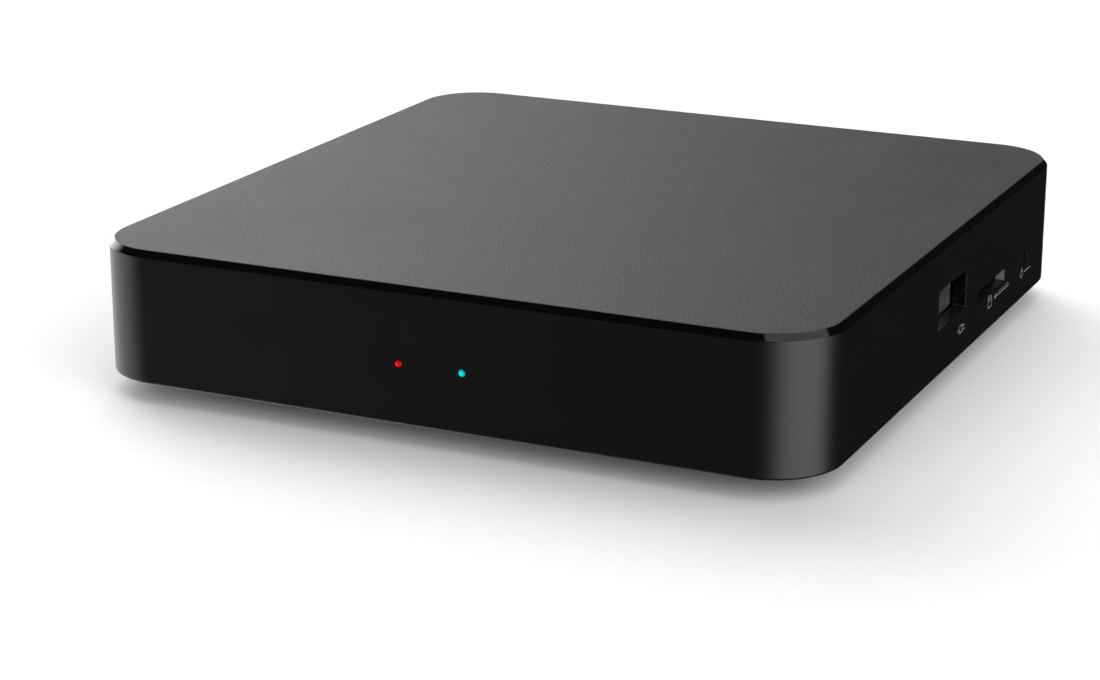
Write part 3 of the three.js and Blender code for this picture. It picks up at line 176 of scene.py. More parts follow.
class PLAYER_PG_colours(PropertyGroup):
    """Colours of the visible surfaces."""

    lid: colour("Lid", "Spark-eroded top face", "#2b2b2c")
    wall: colour("Walls", "Satin walls", "#0d0d0e")
    # This near-black colour is also painted shade on the inner walls of the USB mouth and the
    # pinhole.
    edge: colour("Edge", "Polished chamfer", "#050505")
    cover: colour("Cover", "Lower cover", "#131314")
    ink: colour("Print", "Printed marks beside the ports", "#6e6e6e")
    red_lamp: colour("First lamp", "Light of the left lamp", "#e00a18")
    cyan_lamp: colour("Second lamp", "Light of the right lamp", "#10dcdc")


class PLAYER_PG_stage(PropertyGroup):
    """Floor, lights and camera."""

    floor: colour("Floor", "Pale floor", "#f4f4f4")
    overhead: number("Overhead light", "Strength of the soft light above", 1.1)
    behind: number("Light behind", "Strength of the soft light behind", 1.95)
    fill: number("Fill light", "Strength of the soft light in front", 1.25)
    camera_place: FloatVectorProperty(
        name="Camera", description="Place of the camera", subtype="TRANSLATION", unit="LENGTH",
        default=(0.1695, -0.38015, 0.13059),
    )
    camera_turn: number(
        "Camera turn", "Turn about the upright axis", math.radians(25.19), subtype="ANGLE")
    camera_pitch: number(
        "Camera pitch", "How far the camera looks down", math.radians(17.5), subtype="ANGLE")
    camera_lens: number("Lens", "Focal length on a 36 mm sensor", 89.39, unit="CAMERA")


# ---- Materials

BROAD_GRAIN = 40  # size of the broad mottle, in grains
BROAD_SHARE = 0.35  # how much the broad mottle adds to the fine grain
LENS_CORE, LENS_RIM = 0.12, 0.12  # radius of a lens's bright core, and the share left at its rim
TRACK_CELL, TRACK_HEIGHT = 4, 0.03


def add_node(tree, kind, settings=None, links=None, output=0):
    """Adds a shader node, sets its properties and sockets, links its inputs, and gives back
    one of its outputs."""
    node = tree.nodes.new("ShaderNode" + kind)
    for key, value in (settings or {}).items():
        if isinstance(key, str) and hasattr(node, key):
            setattr(node, key, value)
        else:
            node.inputs[key].default_value = value
    for key, source in (links or {}).items():
        tree.links.new(source, node.inputs[key])
    return node.outputs[output]


def new_material(name, **settings):
    """A material with its surface shader, whose plain values are set on the shader itself."""
    made = bpy.data.materials.new(name)
    made.use_nodes = True
    shader = made.node_tree.nodes["Principled BSDF"]
    for key, value in settings.items():
        shader.inputs[key.replace("_", " ")].default_value = value
    return made, made.node_tree, shader


def shade(rgb, factor):
    return [min(c * factor, 1) for c in rgb] + [1]


def grained(name, rgb, grain, depth, low, high, rough, stretch=None, **more):
    """A surface whose fine grain shows as relief, in colour and in roughness. Grain and depth
    are in millimetres, low and high are the colour's darkest and lightest share, rough is the
    roughness there, and stretch draws the grain out, as brushing does."""
    if isinstance(rgb, str):
        rgb = hex_to_linear(rgb)
    made, tree, shader = new_material(name, **more)
    place = add_node(tree, "TexCoord", output="Object")
    if stretch:
        place = add_node(tree, "Mapping", {"Scale": stretch}, {"Vector": place})
    noise = {"Scale": 1 / (grain * MM), "Detail": 3, "Roughness": 0.6}
    fine = add_node(tree, "TexNoise", noise, {"Vector": place})
    noise = {"Scale": 1 / (BROAD_GRAIN * grain * MM), "Detail": 2}
    broad = add_node(tree, "TexNoise", noise, {"Vector": place})
    weigh = {"operation": "MULTIPLY_ADD", 1: BROAD_SHARE}
    both = add_node(tree, "Math", weigh, {0: broad, 2: fine})
    span = {"From Min": 0.4, "From Max": 0.95}
    level = add_node(tree, "MapRange", span, {"Value": both})
    ends = {"data_type": "RGBA", 6: shade(rgb, low), 7: shade(rgb, high)}
    tint = add_node(tree, "Mix", ends, {0: level}, output=2)
    span = {"To Min": rough[0], "To Max": rough[1]}
    roughness = add_node(tree, "MapRange", span, {"Value": level})
    bump = {"Strength": 1.0, "Distance": depth * MM}
    relief = add_node(tree, "Bump", bump, {"Height": fine})
    for socket, source in (("Base Color", tint), ("Roughness", roughness), ("Normal", relief)):
        tree.links.new(source, shader.inputs[socket])
    return made


def lens_material(name, rgb, centre):
    """Clear acrylic light pipe, moulded and lit from behind: bright in the middle of its tip,
    and darker towards the rim, where it shows the hole's wall."""
    made, tree, shader = new_material(
        name, Base_Color=shade(rgb, 0.25), Roughness=0.12, IOR=1.49, Emission_Strength=0.85
    )
    place = add_node(tree, "TexCoord", output="Object")
    shift = {"operation": "SUBTRACT", 1: centre * MM}
    offset = add_node(tree, "VectorMath", shift, {0: place})
    flatten = {"operation": "MULTIPLY", 1: (1, 0, 1)}
    flat = add_node(tree, "VectorMath", flatten, {0: offset})
    away = add_node(tree, "VectorMath", {"operation": "LENGTH"}, {0: flat}, "Value")
    fade = {
        "interpolation_type": "SMOOTHSTEP", "From Min": LENS_CORE * MM,
        "From Max": LENS_RADIUS * MM, "To Min": 1.0, "To Max": LENS_RIM,
    }
    glow = add_node(tree, "MapRange", fade, {"Value": away})
    ends = {"data_type": "RGBA", 6: (0, 0, 0, 1), 7: shade(rgb, 1)}
    light = add_node(tree, "Mix", ends, {0: glow}, output=2)
    tree.links.new(light, shader.inputs["Emission Color"])
    return made


def board_material():
    """Glass-epoxy circuit board under green solder mask, printed and cured: glossy, with the
    copper tracks showing as slightly raised, lighter lines."""
    dark, light = hex_to_linear("#0d3a22"), hex_to_linear("#1c5a36")
    made, tree, shader = new_material("solder_masked_board", Roughness=0.32, IOR=1.5)
    place = add_node(tree, "TexCoord", output="Object")
    pattern = {
        "Scale": 1 / (TRACK_CELL * MM), "Mortar Size": 0.06, "Mortar Smooth": 0.1, "Bias": 0,
        "Brick Width": 1.3, "Row Height": 0.3,
        "Color1": dark + [1], "Color2": shade(dark, 1.3), "Mortar": light + [1],
    }
    tracks = add_node(tree, "TexBrick", pattern, {"Vector": place}).node
    bump = {"Strength": 0.6, "Distance": TRACK_HEIGHT * MM}
    relief = add_node(tree, "Bump", bump, {"Height": tracks.outputs["Fac"]})
    tree.links.new(tracks.outputs["Color"], shader.inputs["Base Color"])
    tree.links.new(relief, shader.inputs["Normal"])
    return made


def make_materials(colours):
    """Every finish on the object, by its name."""
    made = {
        # ABS moulded against spark-eroded steel: an even matt grain of about 0.1 mm. It is
        # drawn at 0.4 mm, because the true grain is too fine to show.
        "eroded_lid": grained(
            "spark_eroded_abs", colours.lid, 0.4, 0.09, 0.5, 1.7, (0.46, 0.64), IOR=1.5),
        # The same ABS against a polished tool edge: mirror-like, so it shows black or light.
        # Its near-black colour also stands as painted shade inside the USB mouth and the pinhole.
        "polished_edge_and_shade": grained(
            "polished_abs", colours.edge, 0.6, 0.0004, 0.9, 1.1, (0.06, 0.1), IOR=1.5),
        # ABS against a finely blasted tool: satin, with soft upright highlights.
        "satin_wall": grained(
            "satin_abs", colours.wall, 0.25, 0.003, 0.85, 1.15, (0.3, 0.36), IOR=1.5,
            Specular_IOR_Level=0.4),
        # ABS against a coarser eroded tool, as is usual on an underside.
        "cover": grained(
            "textured_abs", colours.cover, 0.4, 0.03, 0.8, 1.2, (0.5, 0.6), IOR=1.5),
        # Moulded silicone rubber: dead matt, with a trace of dust.
        "rubber": grained(
            "silicone_rubber", "#1b1b1b", 0.3, 0.02, 0.8, 1.5, (0.75, 0.9), IOR=1.43),
        # Steel screw in black zinc: dark, with a low metallic shine.
        "black_zinc": grained(
            "black_zinc_steel", "#2c2c30", 0.15, 0.006, 0.8, 1.3, (0.3, 0.42), Metallic=1.0),
        # Polyester label film, smooth and slightly glossy.
        "label": grained(
            "polyester_label", "#8e8e8c", 0.5, 0.001, 0.97, 1.03, (0.32, 0.36), IOR=1.57),
        # Tin-plated steel sheet, rolled: faint lines along the sheet.
        "tinned": grained(
            "tin_plated_steel", "#b4b6b8", 0.12, 0.004, 0.85, 1.1, (0.32, 0.42), (0.08, 1, 1),
            Metallic=0.96),
        # Hard-drawn spring wire: bright, with fine drawing marks.
        "spring": grained(
            "spring_steel_wire", "#9a9ca0", 0.05, 0.001, 0.85, 1.15, (0.22, 0.3), Metallic=1.0),
        # Black moulded epoxy of a chip: finely matt.
        "epoxy": grained(
            "moulded_epoxy", "#1e2022", 0.12, 0.008, 0.85, 1.2, (0.5, 0.6), IOR=1.55),
        # Filled silicone pad: soft, dull, grey blue.
        "pad": grained("silicone_pad", "#8fa7b4", 0.3, 0.02, 0.9, 1.1, (0.8, 0.9), IOR=1.43),
        # Extruded aluminium: fine lines along the fins.
        "aluminium": grained(
            "extruded_aluminium", "#a9acaf", 0.15, 0.006, 0.85, 1.12, (0.32, 0.42),
            (1, 0.05, 1), Metallic=1.0),
        # Black glass-filled nylon of a socket: smooth, with glass showing as a faint mottle.
        "black_nylon": grained(
            "black_nylon", "#1a1a1c", 0.25, 0.006, 0.8, 1.3, (0.4, 0.5), IOR=1.53),
        # Pale liquid-crystal polymer of a contact carrier: smooth and faintly mottled.
        "pale_polymer": grained(
            "pale_polymer", "#cfcdc4", 0.25, 0.004, 0.93, 1.05, (0.4, 0.48), IOR=1.6),
        # Stamped brass, gold flashed: smooth and bright.
        "gold": grained(
            "gold_flashed_brass", "#d9a84e", 0.1, 0.002, 0.9, 1.08, (0.2, 0.28), Metallic=1.0),
        # Polyimide film over copper: glossy amber.
        "film": grained(
            "polyimide_film", "#b87a34", 0.4, 0.002, 0.85, 1.15, (0.2, 0.28), IOR=1.7),
        # Pad-printed ink: thin, matt and slightly uneven.
        "ink": grained(
            "pad_printed_ink", colours.ink, 0.15, 0.002, 0.75, 1.1, (0.55, 0.65), IOR=1.5),
        "board": board_material(),
    }
    for side, rgb in (("red", colours.red_lamp), ("cyan", colours.cyan_lamp)):
        centre = node_centre("light_pipe_" + side)
        made[side + "_lens"] = lens_material("lit_acrylic_" + side, rgb, centre)
    return made


FINISHES = {}


def finish_called(name):
    """One finish by its name. All are made when the first is asked for."""
    if not FINISHES:
        FINISHES.update(make_materials(bpy.context.scene.player_colours))
    return FINISHES[name]


# ---- Shapes


def new_shapes(count):
    return [bmesh.new() for _ in range(count)]


def block(bm, low, high):
    """A box between two corners, and its vertices."""
    low, high = Vector(low), Vector(high)
    verts = bmesh.ops.create_cube(bm, size=1)["verts"]
    bmesh.ops.scale(bm, vec=high - low, verts=verts)
    bmesh.ops.translate(bm, vec=(low + high) / 2, verts=verts)
    return verts


def soften(bm, edges, radius, segments=3):
    bmesh.ops.bevel(
        bm, geom=list(edges), offset=radius, offset_type="OFFSET", segments=segments,
        profile=0.5, affect="EDGES", material=-1, clamp_overlap=True,
    )


def edges_along(verts, axis):
    """The edges among some vertices that run along one axis."""
    found = {e for v in verts for e in v.link_edges}
    return [
        e for e in found
        if abs((e.verts[1].co - e.verts[0].co).normalized()[axis]) > 0.99
    ]


def strip(bm, low, high, axis, cuts=5):
    """A block cut across into short lengths, so that it can be bent."""
    edges = edges_along(block(bm, low, high), axis)
    bmesh.ops.subdivide_edges(bm, edges=edges, cuts=cuts)


def level_edges(bm, height, axis=2):
    """The edges that lie at one height."""
    return [e for e in bm.edges if all(abs(v.co[axis] - height) < 1e-4 for v in e.verts)]


def slab(bm, low, high, radius, segments=8, axis=2):
    """A block whose edges along one axis are rounded."""
    verts = block(bm, low, high)
    soften(bm, edges_along(verts, axis), radius, segments)


def rod(bm, radius, x, y, low, high, segments=32):
    bmesh.ops.create_cone(
        bm, cap_ends=True, segments=segments, radius1=radius, radius2=radius, depth=high - low,
        matrix=Matrix.Translation((x, y, (low + high) / 2)),
    )


def move(bm, place):
    bmesh.ops.transform(bm, matrix=place, verts=bm.verts)
    return bm


def turned(profile, segments, place):
    """A turned solid about Z, from pairs of radius and height, put in its place."""
    bm = bmesh.new()
    verts = [bm.verts.new((radius, 0, height)) for radius, height in profile]
    edges = [bm.edges.new(pair) for pair in zip(verts, verts[1:])]
    bmesh.ops.spin(
        bm, geom=verts + edges, cent=(0, 0, 0), axis=(0, 0, 1), angle=math.tau,
        steps=segments, use_merge=True,
    )
    bmesh.ops.remove_doubles(bm, verts=bm.verts, dist=1e-5)
    return move(bm, place)


def take_off_corners(bm, verts, size, segments):
    bmesh.ops.bevel(
        bm, geom=verts, offset=size, offset_type="OFFSET", segments=segments, profile=0.5,
        affect="VERTICES", material=-1,
    )


def outline_face(bm, width, tall, corner=0, segments=6):
    """A flat rectangle about the origin, as one face. Its corners may be rounded."""
    verts = bmesh.ops.create_grid(bm, x_segments=1, y_segments=1, size=0.5)["verts"]
    bmesh.ops.scale(bm, vec=(width, tall, 1), verts=verts)
    if corner:
        take_off_corners(bm, verts, corner, segments)
    return next(iter(bm.faces))


def draw_out(bm, face, half, steps, start=0.0):
    """Draws a face about the origin up along Z. Each step is a height, and how much wider the
    outline is there, as one number or as one for each direction."""
    bmesh.ops.translate(bm, vec=(0, 0, start), verts=face.verts)
    height, spread = start, (0.0, 0.0)
    for index, (next_height, next_spread) in enumerate(steps):
        made = bmesh.ops.extrude_face_region(bm, geom=[face])["geom"]
        if index:
            bmesh.ops.delete(bm, geom=[face], context="FACES_ONLY")
        face = next(g for g in made if isinstance(g, bmesh.types.BMFace))
        if not isinstance(next_spread, tuple):
            next_spread = (next_spread, next_spread)
        factor = [(h + n) / (h + s) for h, n, s in zip(half, next_spread, spread)]
        bmesh.ops.translate(bm, vec=(0, 0, next_height - height), verts=face.verts)
        bmesh.ops.scale(bm, vec=(*factor, 1), verts=face.verts)
        height, spread = next_height, next_spread


# Outlines are drawn in X and Y and raised along Z, and then stood against a wall.
OUT_TO_RIGHT = Matrix(((0, 0, 1, 0), (1, 0, 0, 0), (0, 1, 0, 0), (0, 0, 0, 1)))
OUT_TO_REAR = Matrix.Rotation(math.pi / 2, 4, "Z") @ OUT_TO_RIGHT
OUT_TO_FRONT = Matrix.Rotation(-math.pi / 2, 4, "Z") @ OUT_TO_RIGHT


def right_wall(y, z, x=INSIDE.x):
    return Matrix.Translation((x, y, z)) @ OUT_TO_RIGHT


def rear_wall(x, z, y=INSIDE.y):
    return Matrix.Translation((x, y, z)) @ OUT_TO_REAR


def front_wall(x, z):
    return Matrix.Translation((x, -INSIDE.y, z)) @ OUT_TO_FRONT


def rounded_steps(thickness, radius):
    """Steps that run through a wall and round its outer edge."""
    steps = [(thickness - radius, 0.0)]
    for angle in map(math.radians, (30, 60, 90)):
        rise = thickness - radius + radius * math.sin(angle)
        steps.append((rise, radius - radius * math.cos(angle)))
    steps.append((thickness + OVERSHOOT, radius))
    return steps


def add_object(name, data):
    made = bpy.data.objects.new(name, data)
    bpy.context.scene.collection.objects.link(made)
    return made


def as_object(shape):
    """A finished bmesh as an object of the scene, still in millimetres. An object stays as
    it is."""
    if isinstance(shape, bpy.types.Object):
        return shape
    bmesh.ops.recalc_face_normals(shape, faces=shape.faces)
    mesh = bpy.data.meshes.new("work")
    shape.to_mesh(mesh)
    shape.free()
    return add_object("work", mesh)


def mouth(width, tall, corner, place, steps=None):
    """A cutter for a rectangular way through a wall."""
    bm = bmesh.new()
    face = outline_face(bm, width, tall, corner)
    steps = steps or rounded_steps(WALL, MOUTH_ROUND)
    draw_out(bm, face, (width / 2, tall / 2), steps, -OVERSHOOT)
    return move(bm, place)


def round_mouth(radius, place, edge=MOUTH_ROUND):
    bm = bmesh.new()
    bmesh.ops.create_circle(bm, cap_ends=True, segments=48, radius=radius)
    face = next(iter(bm.faces))
    draw_out(bm, face, (radius, radius), rounded_steps(WALL, edge), -OVERSHOOT)
    return move(bm, place)


def combine(piece, others, operation, overlapping):
    piece = as_object(piece)
    for other in map(as_object, others):
        step = piece.modifiers.new("combine", "BOOLEAN")
        step.operation = operation
        step.solver = "EXACT"
        step.use_self = overlapping
        step.object = other
        graph = bpy.context.evaluated_depsgraph_get()
        mesh = bpy.data.meshes.new_from_object(piece.evaluated_get(graph))
        piece.modifiers.clear()
        piece.data = mesh
        bpy.data.objects.remove(other)
    return piece


def cut(piece, *others, overlapping=False):
    """Cuts others from a piece, one after the other. Overlapping says that one of them
    crosses itself."""
    return combine(piece, others, "DIFFERENCE", overlapping)


def join(piece, *others, overlapping=False):
    """Joins others to a piece, one after the other."""
    return combine(piece, others, "UNION", overlapping)


def finish_piece(shape, name, finishes, stands_for=None, choose=None, sharp=35):
    """Turns a shape from millimetres to metres, gives it its finishes and name, and fixes it
    to the case. choose picks a face's finish by number."""
    piece = as_object(shape)
    bm = bmesh.new()
    bm.from_mesh(piece.data)
    bmesh.ops.remove_doubles(bm, verts=bm.verts, dist=SLIVER)
    bmesh.ops.dissolve_degenerate(bm, edges=bm.edges, dist=SLIVER)
    for face in bm.faces:
        face.smooth = True
        face.material_index = choose(face) if choose else 0
    bmesh.ops.scale(bm, vec=(MM, MM, MM), verts=bm.verts)
    mesh = bpy.data.meshes.new(name)
    bm.to_mesh(mesh)
    bm.free()
    mesh.set_sharp_from_angle(angle=math.radians(sharp))
    for finish in finishes:
        mesh.materials.append(finish_called(finish))
    piece.data = mesh
    piece.name = name
    even = piece.modifiers.new("even_normals", "WEIGHTED_NORMAL")
    even.keep_sharp = True
    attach(piece, "case")
    if stands_for:
        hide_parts(stands_for)
    return piece


# ---- Case


def shell_outside(case):
    """Straight walls with rounded corners, and a flat chamfer round the top face."""
    bm = bmesh.new()
    slab(bm, SHELL_LOW, SHELL_HIGH, case.corner_radius / MM, CORNER_SEGMENTS)
    lid = max(bm.faces, key=lambda f: f.calc_center_median().z)
    bmesh.ops.inset_region(bm, faces=[lid], thickness=EDGE_INSET, use_even_offset=True)
    lid = max(bm.faces, key=lambda f: (round(f.calc_center_median().z, 3), f.calc_area()))
    kept = set(lid.verts)
    ring = [v for v in bm.verts if v.co.z > SHELL_HIGH.z - 1e-4 and v not in kept]
    bmesh.ops.translate(bm, vec=(0, 0, -EDGE_DROP), verts=ring)
    soften(bm, level_edges(bm, SHELL_HIGH.z), case.edge_round / MM, 2)
    soften(bm, level_edges(bm, SHELL_HIGH.z - EDGE_DROP), case.edge_round / MM, 2)
    soften(bm, level_edges(bm, SHELL_LOW.z), case.rim_round / MM, 4)
    return bm


def shell_inside(case):
    bm = bmesh.new()
    low = (-INSIDE.x, -INSIDE.y, SHELL_LOW.z - OVERSHOOT)
    slab(bm, low, INSIDE, case.corner_radius / MM - WALL, CORNER_SEGMENTS)
    soften(bm, level_edges(bm, INSIDE.z), ROOF_FILLET)
    return bm


def screw_posts():
    """Four posts under the roof, each tied to both walls by a rib, and their bores."""
    posts, bores = new_shapes(2)
    bottom = node_box("bottom_cover")[0].z + POST_SEAT
    foot = node_box("main_board")[1].z
    top = INSIDE.z + ROOF / 2
    for name, (sign_x, sign_y) in CORNERS.items():
        x, y, _ = node_centre("case_screw_" + name)
        rod(posts, POST_RADIUS, x, y, bottom, top)
        half = POST_RIB / 2
        wall_x, wall_y = sign_x * (INSIDE.x + WALL / 2), sign_y * (INSIDE.y + WALL / 2)
        block(posts, (min(x, wall_x), y - half, foot), (max(x, wall_x), y + half, top))
        block(posts, (x - half, min(y, wall_y), foot), (x + half, max(y, wall_y), top))
        rod(bores, POST_BORE, x, y, bottom - OVERSHOOT, POST_BORE_TOP)
    return posts, bores


def port_mouths():
    """The cutters for every way through the walls."""
    usb, card = node_centre("usb_tongue"), node_centre("card_socket_cover")
    slider, reset = node_centre("card_slider"), node_centre("reset_plunger")
    power, hdmi = node_centre("power_jack_pin"), node_centre("hdmi_tongue")
    av = node_centre("av_jack").x, node_box("av_jack")[1].z - AV_AXIS_DROP
    network = node_centre("network_jack")
    card_steps = [
        (WALL - CARD_FLARE_DEPTH, 0.0),
        (WALL, CARD_FLARE),
        (WALL + OVERSHOOT, tuple(f + f / CARD_FLARE_DEPTH * OVERSHOOT for f in CARD_FLARE)),
    ]
    cutters = [
        mouth(USB_WIDTH + 0.6, USB_TALL + 0.3, 0.5, right_wall(usb.y, usb.z),
              rounded_steps(WALL, 0.05)),
        mouth(*CARD_MOUTH, 0.25, right_wall(card.y, slider.z), card_steps),
        round_mouth(RESET_RADIUS, right_wall(reset.y, reset.z), 0.03),
        round_mouth(POWER_HOLE, rear_wall(power.x, power.z)),
        mouth(HDMI_WIDTH + 0.6, HDMI_TALL + 0.6, 0.5, rear_wall(hdmi.x, hdmi.z)),
        round_mouth(AV_HOLE, rear_wall(*av)),
        mouth(*NETWORK_MOUTH, 0.5, rear_wall(network.x, NETWORK_MOUTH_HEIGHT)),
    ]
    for side in ("red", "cyan"):
        middle = node_centre("light_pipe_" + side)
        cutters.append(round_mouth(LENS_HOLE, front_wall(middle.x, middle.z), 0.03))
    return cutters


class PLAYER_OT_top_housing(Operator):
    """Upper shell with its chamfered edge, port mouths and screw posts"""

    bl_idname = "player.top_housing"
    bl_label = "Upper shell"

    def execute(self, context):
        case = context.scene.player_case
        shell = cut(shell_outside(case), shell_inside(case))
        posts, bores = screw_posts()
        join(shell, posts, overlapping=True)
        cut(shell, bores, *port_mouths())
        chamfer_low = SHELL_HIGH.z - EDGE_DROP
        usb, reset = node_centre("usb_tongue"), node_centre("reset_plunger")
        lid, polished_and_shaded, satin = range(3)

        def finish_of(face):
            """The lid is eroded and the chamfer is polished. The inner walls of the USB mouth,
            apart from its floor, and of the pinhole take the chamfer's near-black finish as
            painted shade.
            """
            middle = face.calc_center_median()
            if middle.z > SHELL_HIGH.z - 0.06:
                return lid
            if middle.z > chamfer_low and face.normal.z > 0.05:
                return polished_and_shaded
            # Painted shade: faces within the wall inside the USB mouth, apart from its floor, and
            # inside the pinhole take the near-black polished finish, so these recesses look dark.
            across = (middle.y - usb.y) / USB_WIDTH, (middle.z - usb.z) / USB_TALL
            in_usb = max(map(abs, across)) < 0.56 and face.normal.z < 0.5
            in_pinhole = math.dist(middle.yz, reset.yz) < RESET_RADIUS + 0.1
            in_wall = INSIDE.x < middle.x < SHELL_HIGH.x - 1e-3
            return polished_and_shaded if in_wall and (in_usb or in_pinhole) else satin

        finish_piece(
            shell, "upper_shell", ["eroded_lid", "polished_edge_and_shade", "satin_wall"],
            "top_housing", choose=finish_of, sharp=25,
        )
        return {"FINISHED"}


class PLAYER_OT_bottom_cover(Operator):
    """Lower cover: an edge plate, a raised plinth with vents, and standoffs for the board"""

    bl_idname = "player.bottom_cover"
    bl_label = "Lower cover"

    def execute(self, context):
        radius = context.scene.player_case.corner_radius / MM
        low, high = node_box("bottom_cover")
        edge_x, edge_y = INSIDE.x - PLATE_GAP, INSIDE.y - PLATE_GAP
        plinth_x, plinth_y = SHELL_HIGH.x - PLINTH_INSET, SHELL_HIGH.y - PLINTH_INSET
        inner_x, inner_y = plinth_x - FLOOR_THICKNESS, plinth_y - FLOOR_THICKNESS
        plate_top, floor = PLATE_LOW + FLOOR_THICKNESS, low.z + FLOOR_THICKNESS
        plate, plinth, pocket, pillars, bores, wells = new_shapes(6)
        slab(plate, (-edge_x, -edge_y, PLATE_LOW), (edge_x, edge_y, plate_top),
             radius - WALL - PLATE_GAP, 12)
        slab(plinth, (-plinth_x, -plinth_y, low.z), (plinth_x, plinth_y, plate_top - 0.01),
             radius - PLINTH_INSET, 12)
        soften(plinth, level_edges(plinth, low.z), 0.5, 4)
        slab(pocket, (-inner_x, -inner_y, floor), (inner_x, inner_y, plate_top + 1),
             radius - PLINTH_INSET - FLOOR_THICKNESS, 12)
        for name in CORNERS:
            screw, stud = node_centre("case_screw_" + name), node_centre("board_screw_" + name)
            foot = node_centre("foot_" + name)
            rod(pillars, PILLAR_RADIUS, screw.x, screw.y, PLATE_LOW + 0.05, plate_top - 0.02)
            rod(pillars, STANDOFF_RADIUS, stud.x, stud.y, floor - 0.9, high.z)
            rod(bores, STANDOFF_BORE, stud.x, stud.y, floor + 0.6, high.z + 1)
            rod(bores, POST_BORE, screw.x, screw.y, floor - 0.5, plate_top + 1)
            rod(wells, WELL_RADIUS, screw.x, screw.y, low.z - 1, floor, 40)
            rod(wells, FOOT_RECESS_RADIUS, foot.x, foot.y, low.z - 1, low.z + FOOT_RECESS, 64)
        for i in range(VENTS):
            x = (i - (VENTS - 1) / 2) * VENT_PITCH
            slab(wells, (x - VENT_WIDTH / 2, VENT_Y - VENT_LENGTH / 2, low.z - 1),
                 (x + VENT_WIDTH / 2, VENT_Y + VENT_LENGTH / 2, floor + 1),
                 VENT_WIDTH / 2 - 0.01, 6)
        start, end = node_box("rating_label")
        slab(wells, (start.x - LABEL_GAP, start.y - LABEL_GAP, low.z - 1),
             (end.x + LABEL_GAP, end.y + LABEL_GAP, low.z + LABEL_RECESS), 1.2, 6)
        cover = cut(join(plate, plinth), pocket)
        join(cover, pillars)
        cut(cover, bores, wells)
        finish_piece(cover, "lower_cover", ["cover"], "bottom_cover")
        return {"FINISHED"}


class PLAYER_OT_feet(Operator):
    """Four round rubber feet with a dished underside"""

    bl_idname = "player.feet"
    bl_label = "Feet"

    def execute(self, context):
        for name in CORNERS:
            node = "foot_" + name
            low, high = node_box(node)
            middle, radius = (low + high) / 2, (high.x - low.x) / 2
            profile = [(radius - inset, height) for inset, height in FOOT_UNDERSIDE]
            profile = [(0, FOOT_DISH), *profile, (radius, high.z), (0, high.z)]
            pad = turned(profile, 64, Matrix.Translation((middle.x, middle.y, 0)))
            finish_piece(pad, node + "_pad", ["rubber"], node)
        return {"FINISHED"}


class PLAYER_OT_case_screws(Operator):
    """Four pan-head screws with a cross recess and a threaded shank"""

    bl_idname = "player.case_screws"
    bl_label = "Case screws"

    def execute(self, context):
        for name in CORNERS:
            node = "case_screw_" + name
            low, high = node_box(node)
            middle, long = (low + high) / 2, high.z - low.z
            profile, thread = [*SCREW_HEAD], THREAD_START
            while thread < long - 1.8:
                profile += [(1.1, thread), (1.3, thread + 0.25), (1.1, thread + 0.5)]
                thread += THREAD_PITCH
            profile += [(1.05, long - 1.3), (0, long)]
            cross = bmesh.new()
            for width, depth in (CROSS_ARM, CROSS_ARM[::-1]):
                verts = block(cross, (-width / 2, -depth / 2, -1),
                              (width / 2, depth / 2, CROSS_DEPTH))
                tip = [v for v in verts if v.co.z > 0]
                bmesh.ops.scale(cross, vec=(0.6, 0.6, 1), verts=tip)
            place = Matrix.Translation((middle.x, middle.y, low.z))
            screw = cut(turned(profile, 40, place), move(cross, place), overlapping=True)
            finish_piece(screw, node + "_cross_head", ["black_zinc"], node)
        return {"FINISHED"}


class PLAYER_OT_rating_label(Operator):
    """Blank label with rounded corners"""

    bl_idname = "player.rating_label"
    bl_label = "Label"

    def execute(self, context):
        label = bmesh.new()
        slab(label, *node_box("rating_label"), 1.0, 8)
        finish_piece(label, "blank_label", ["label"], "rating_label")
        return {"FINISHED"}


# ---- Side sockets


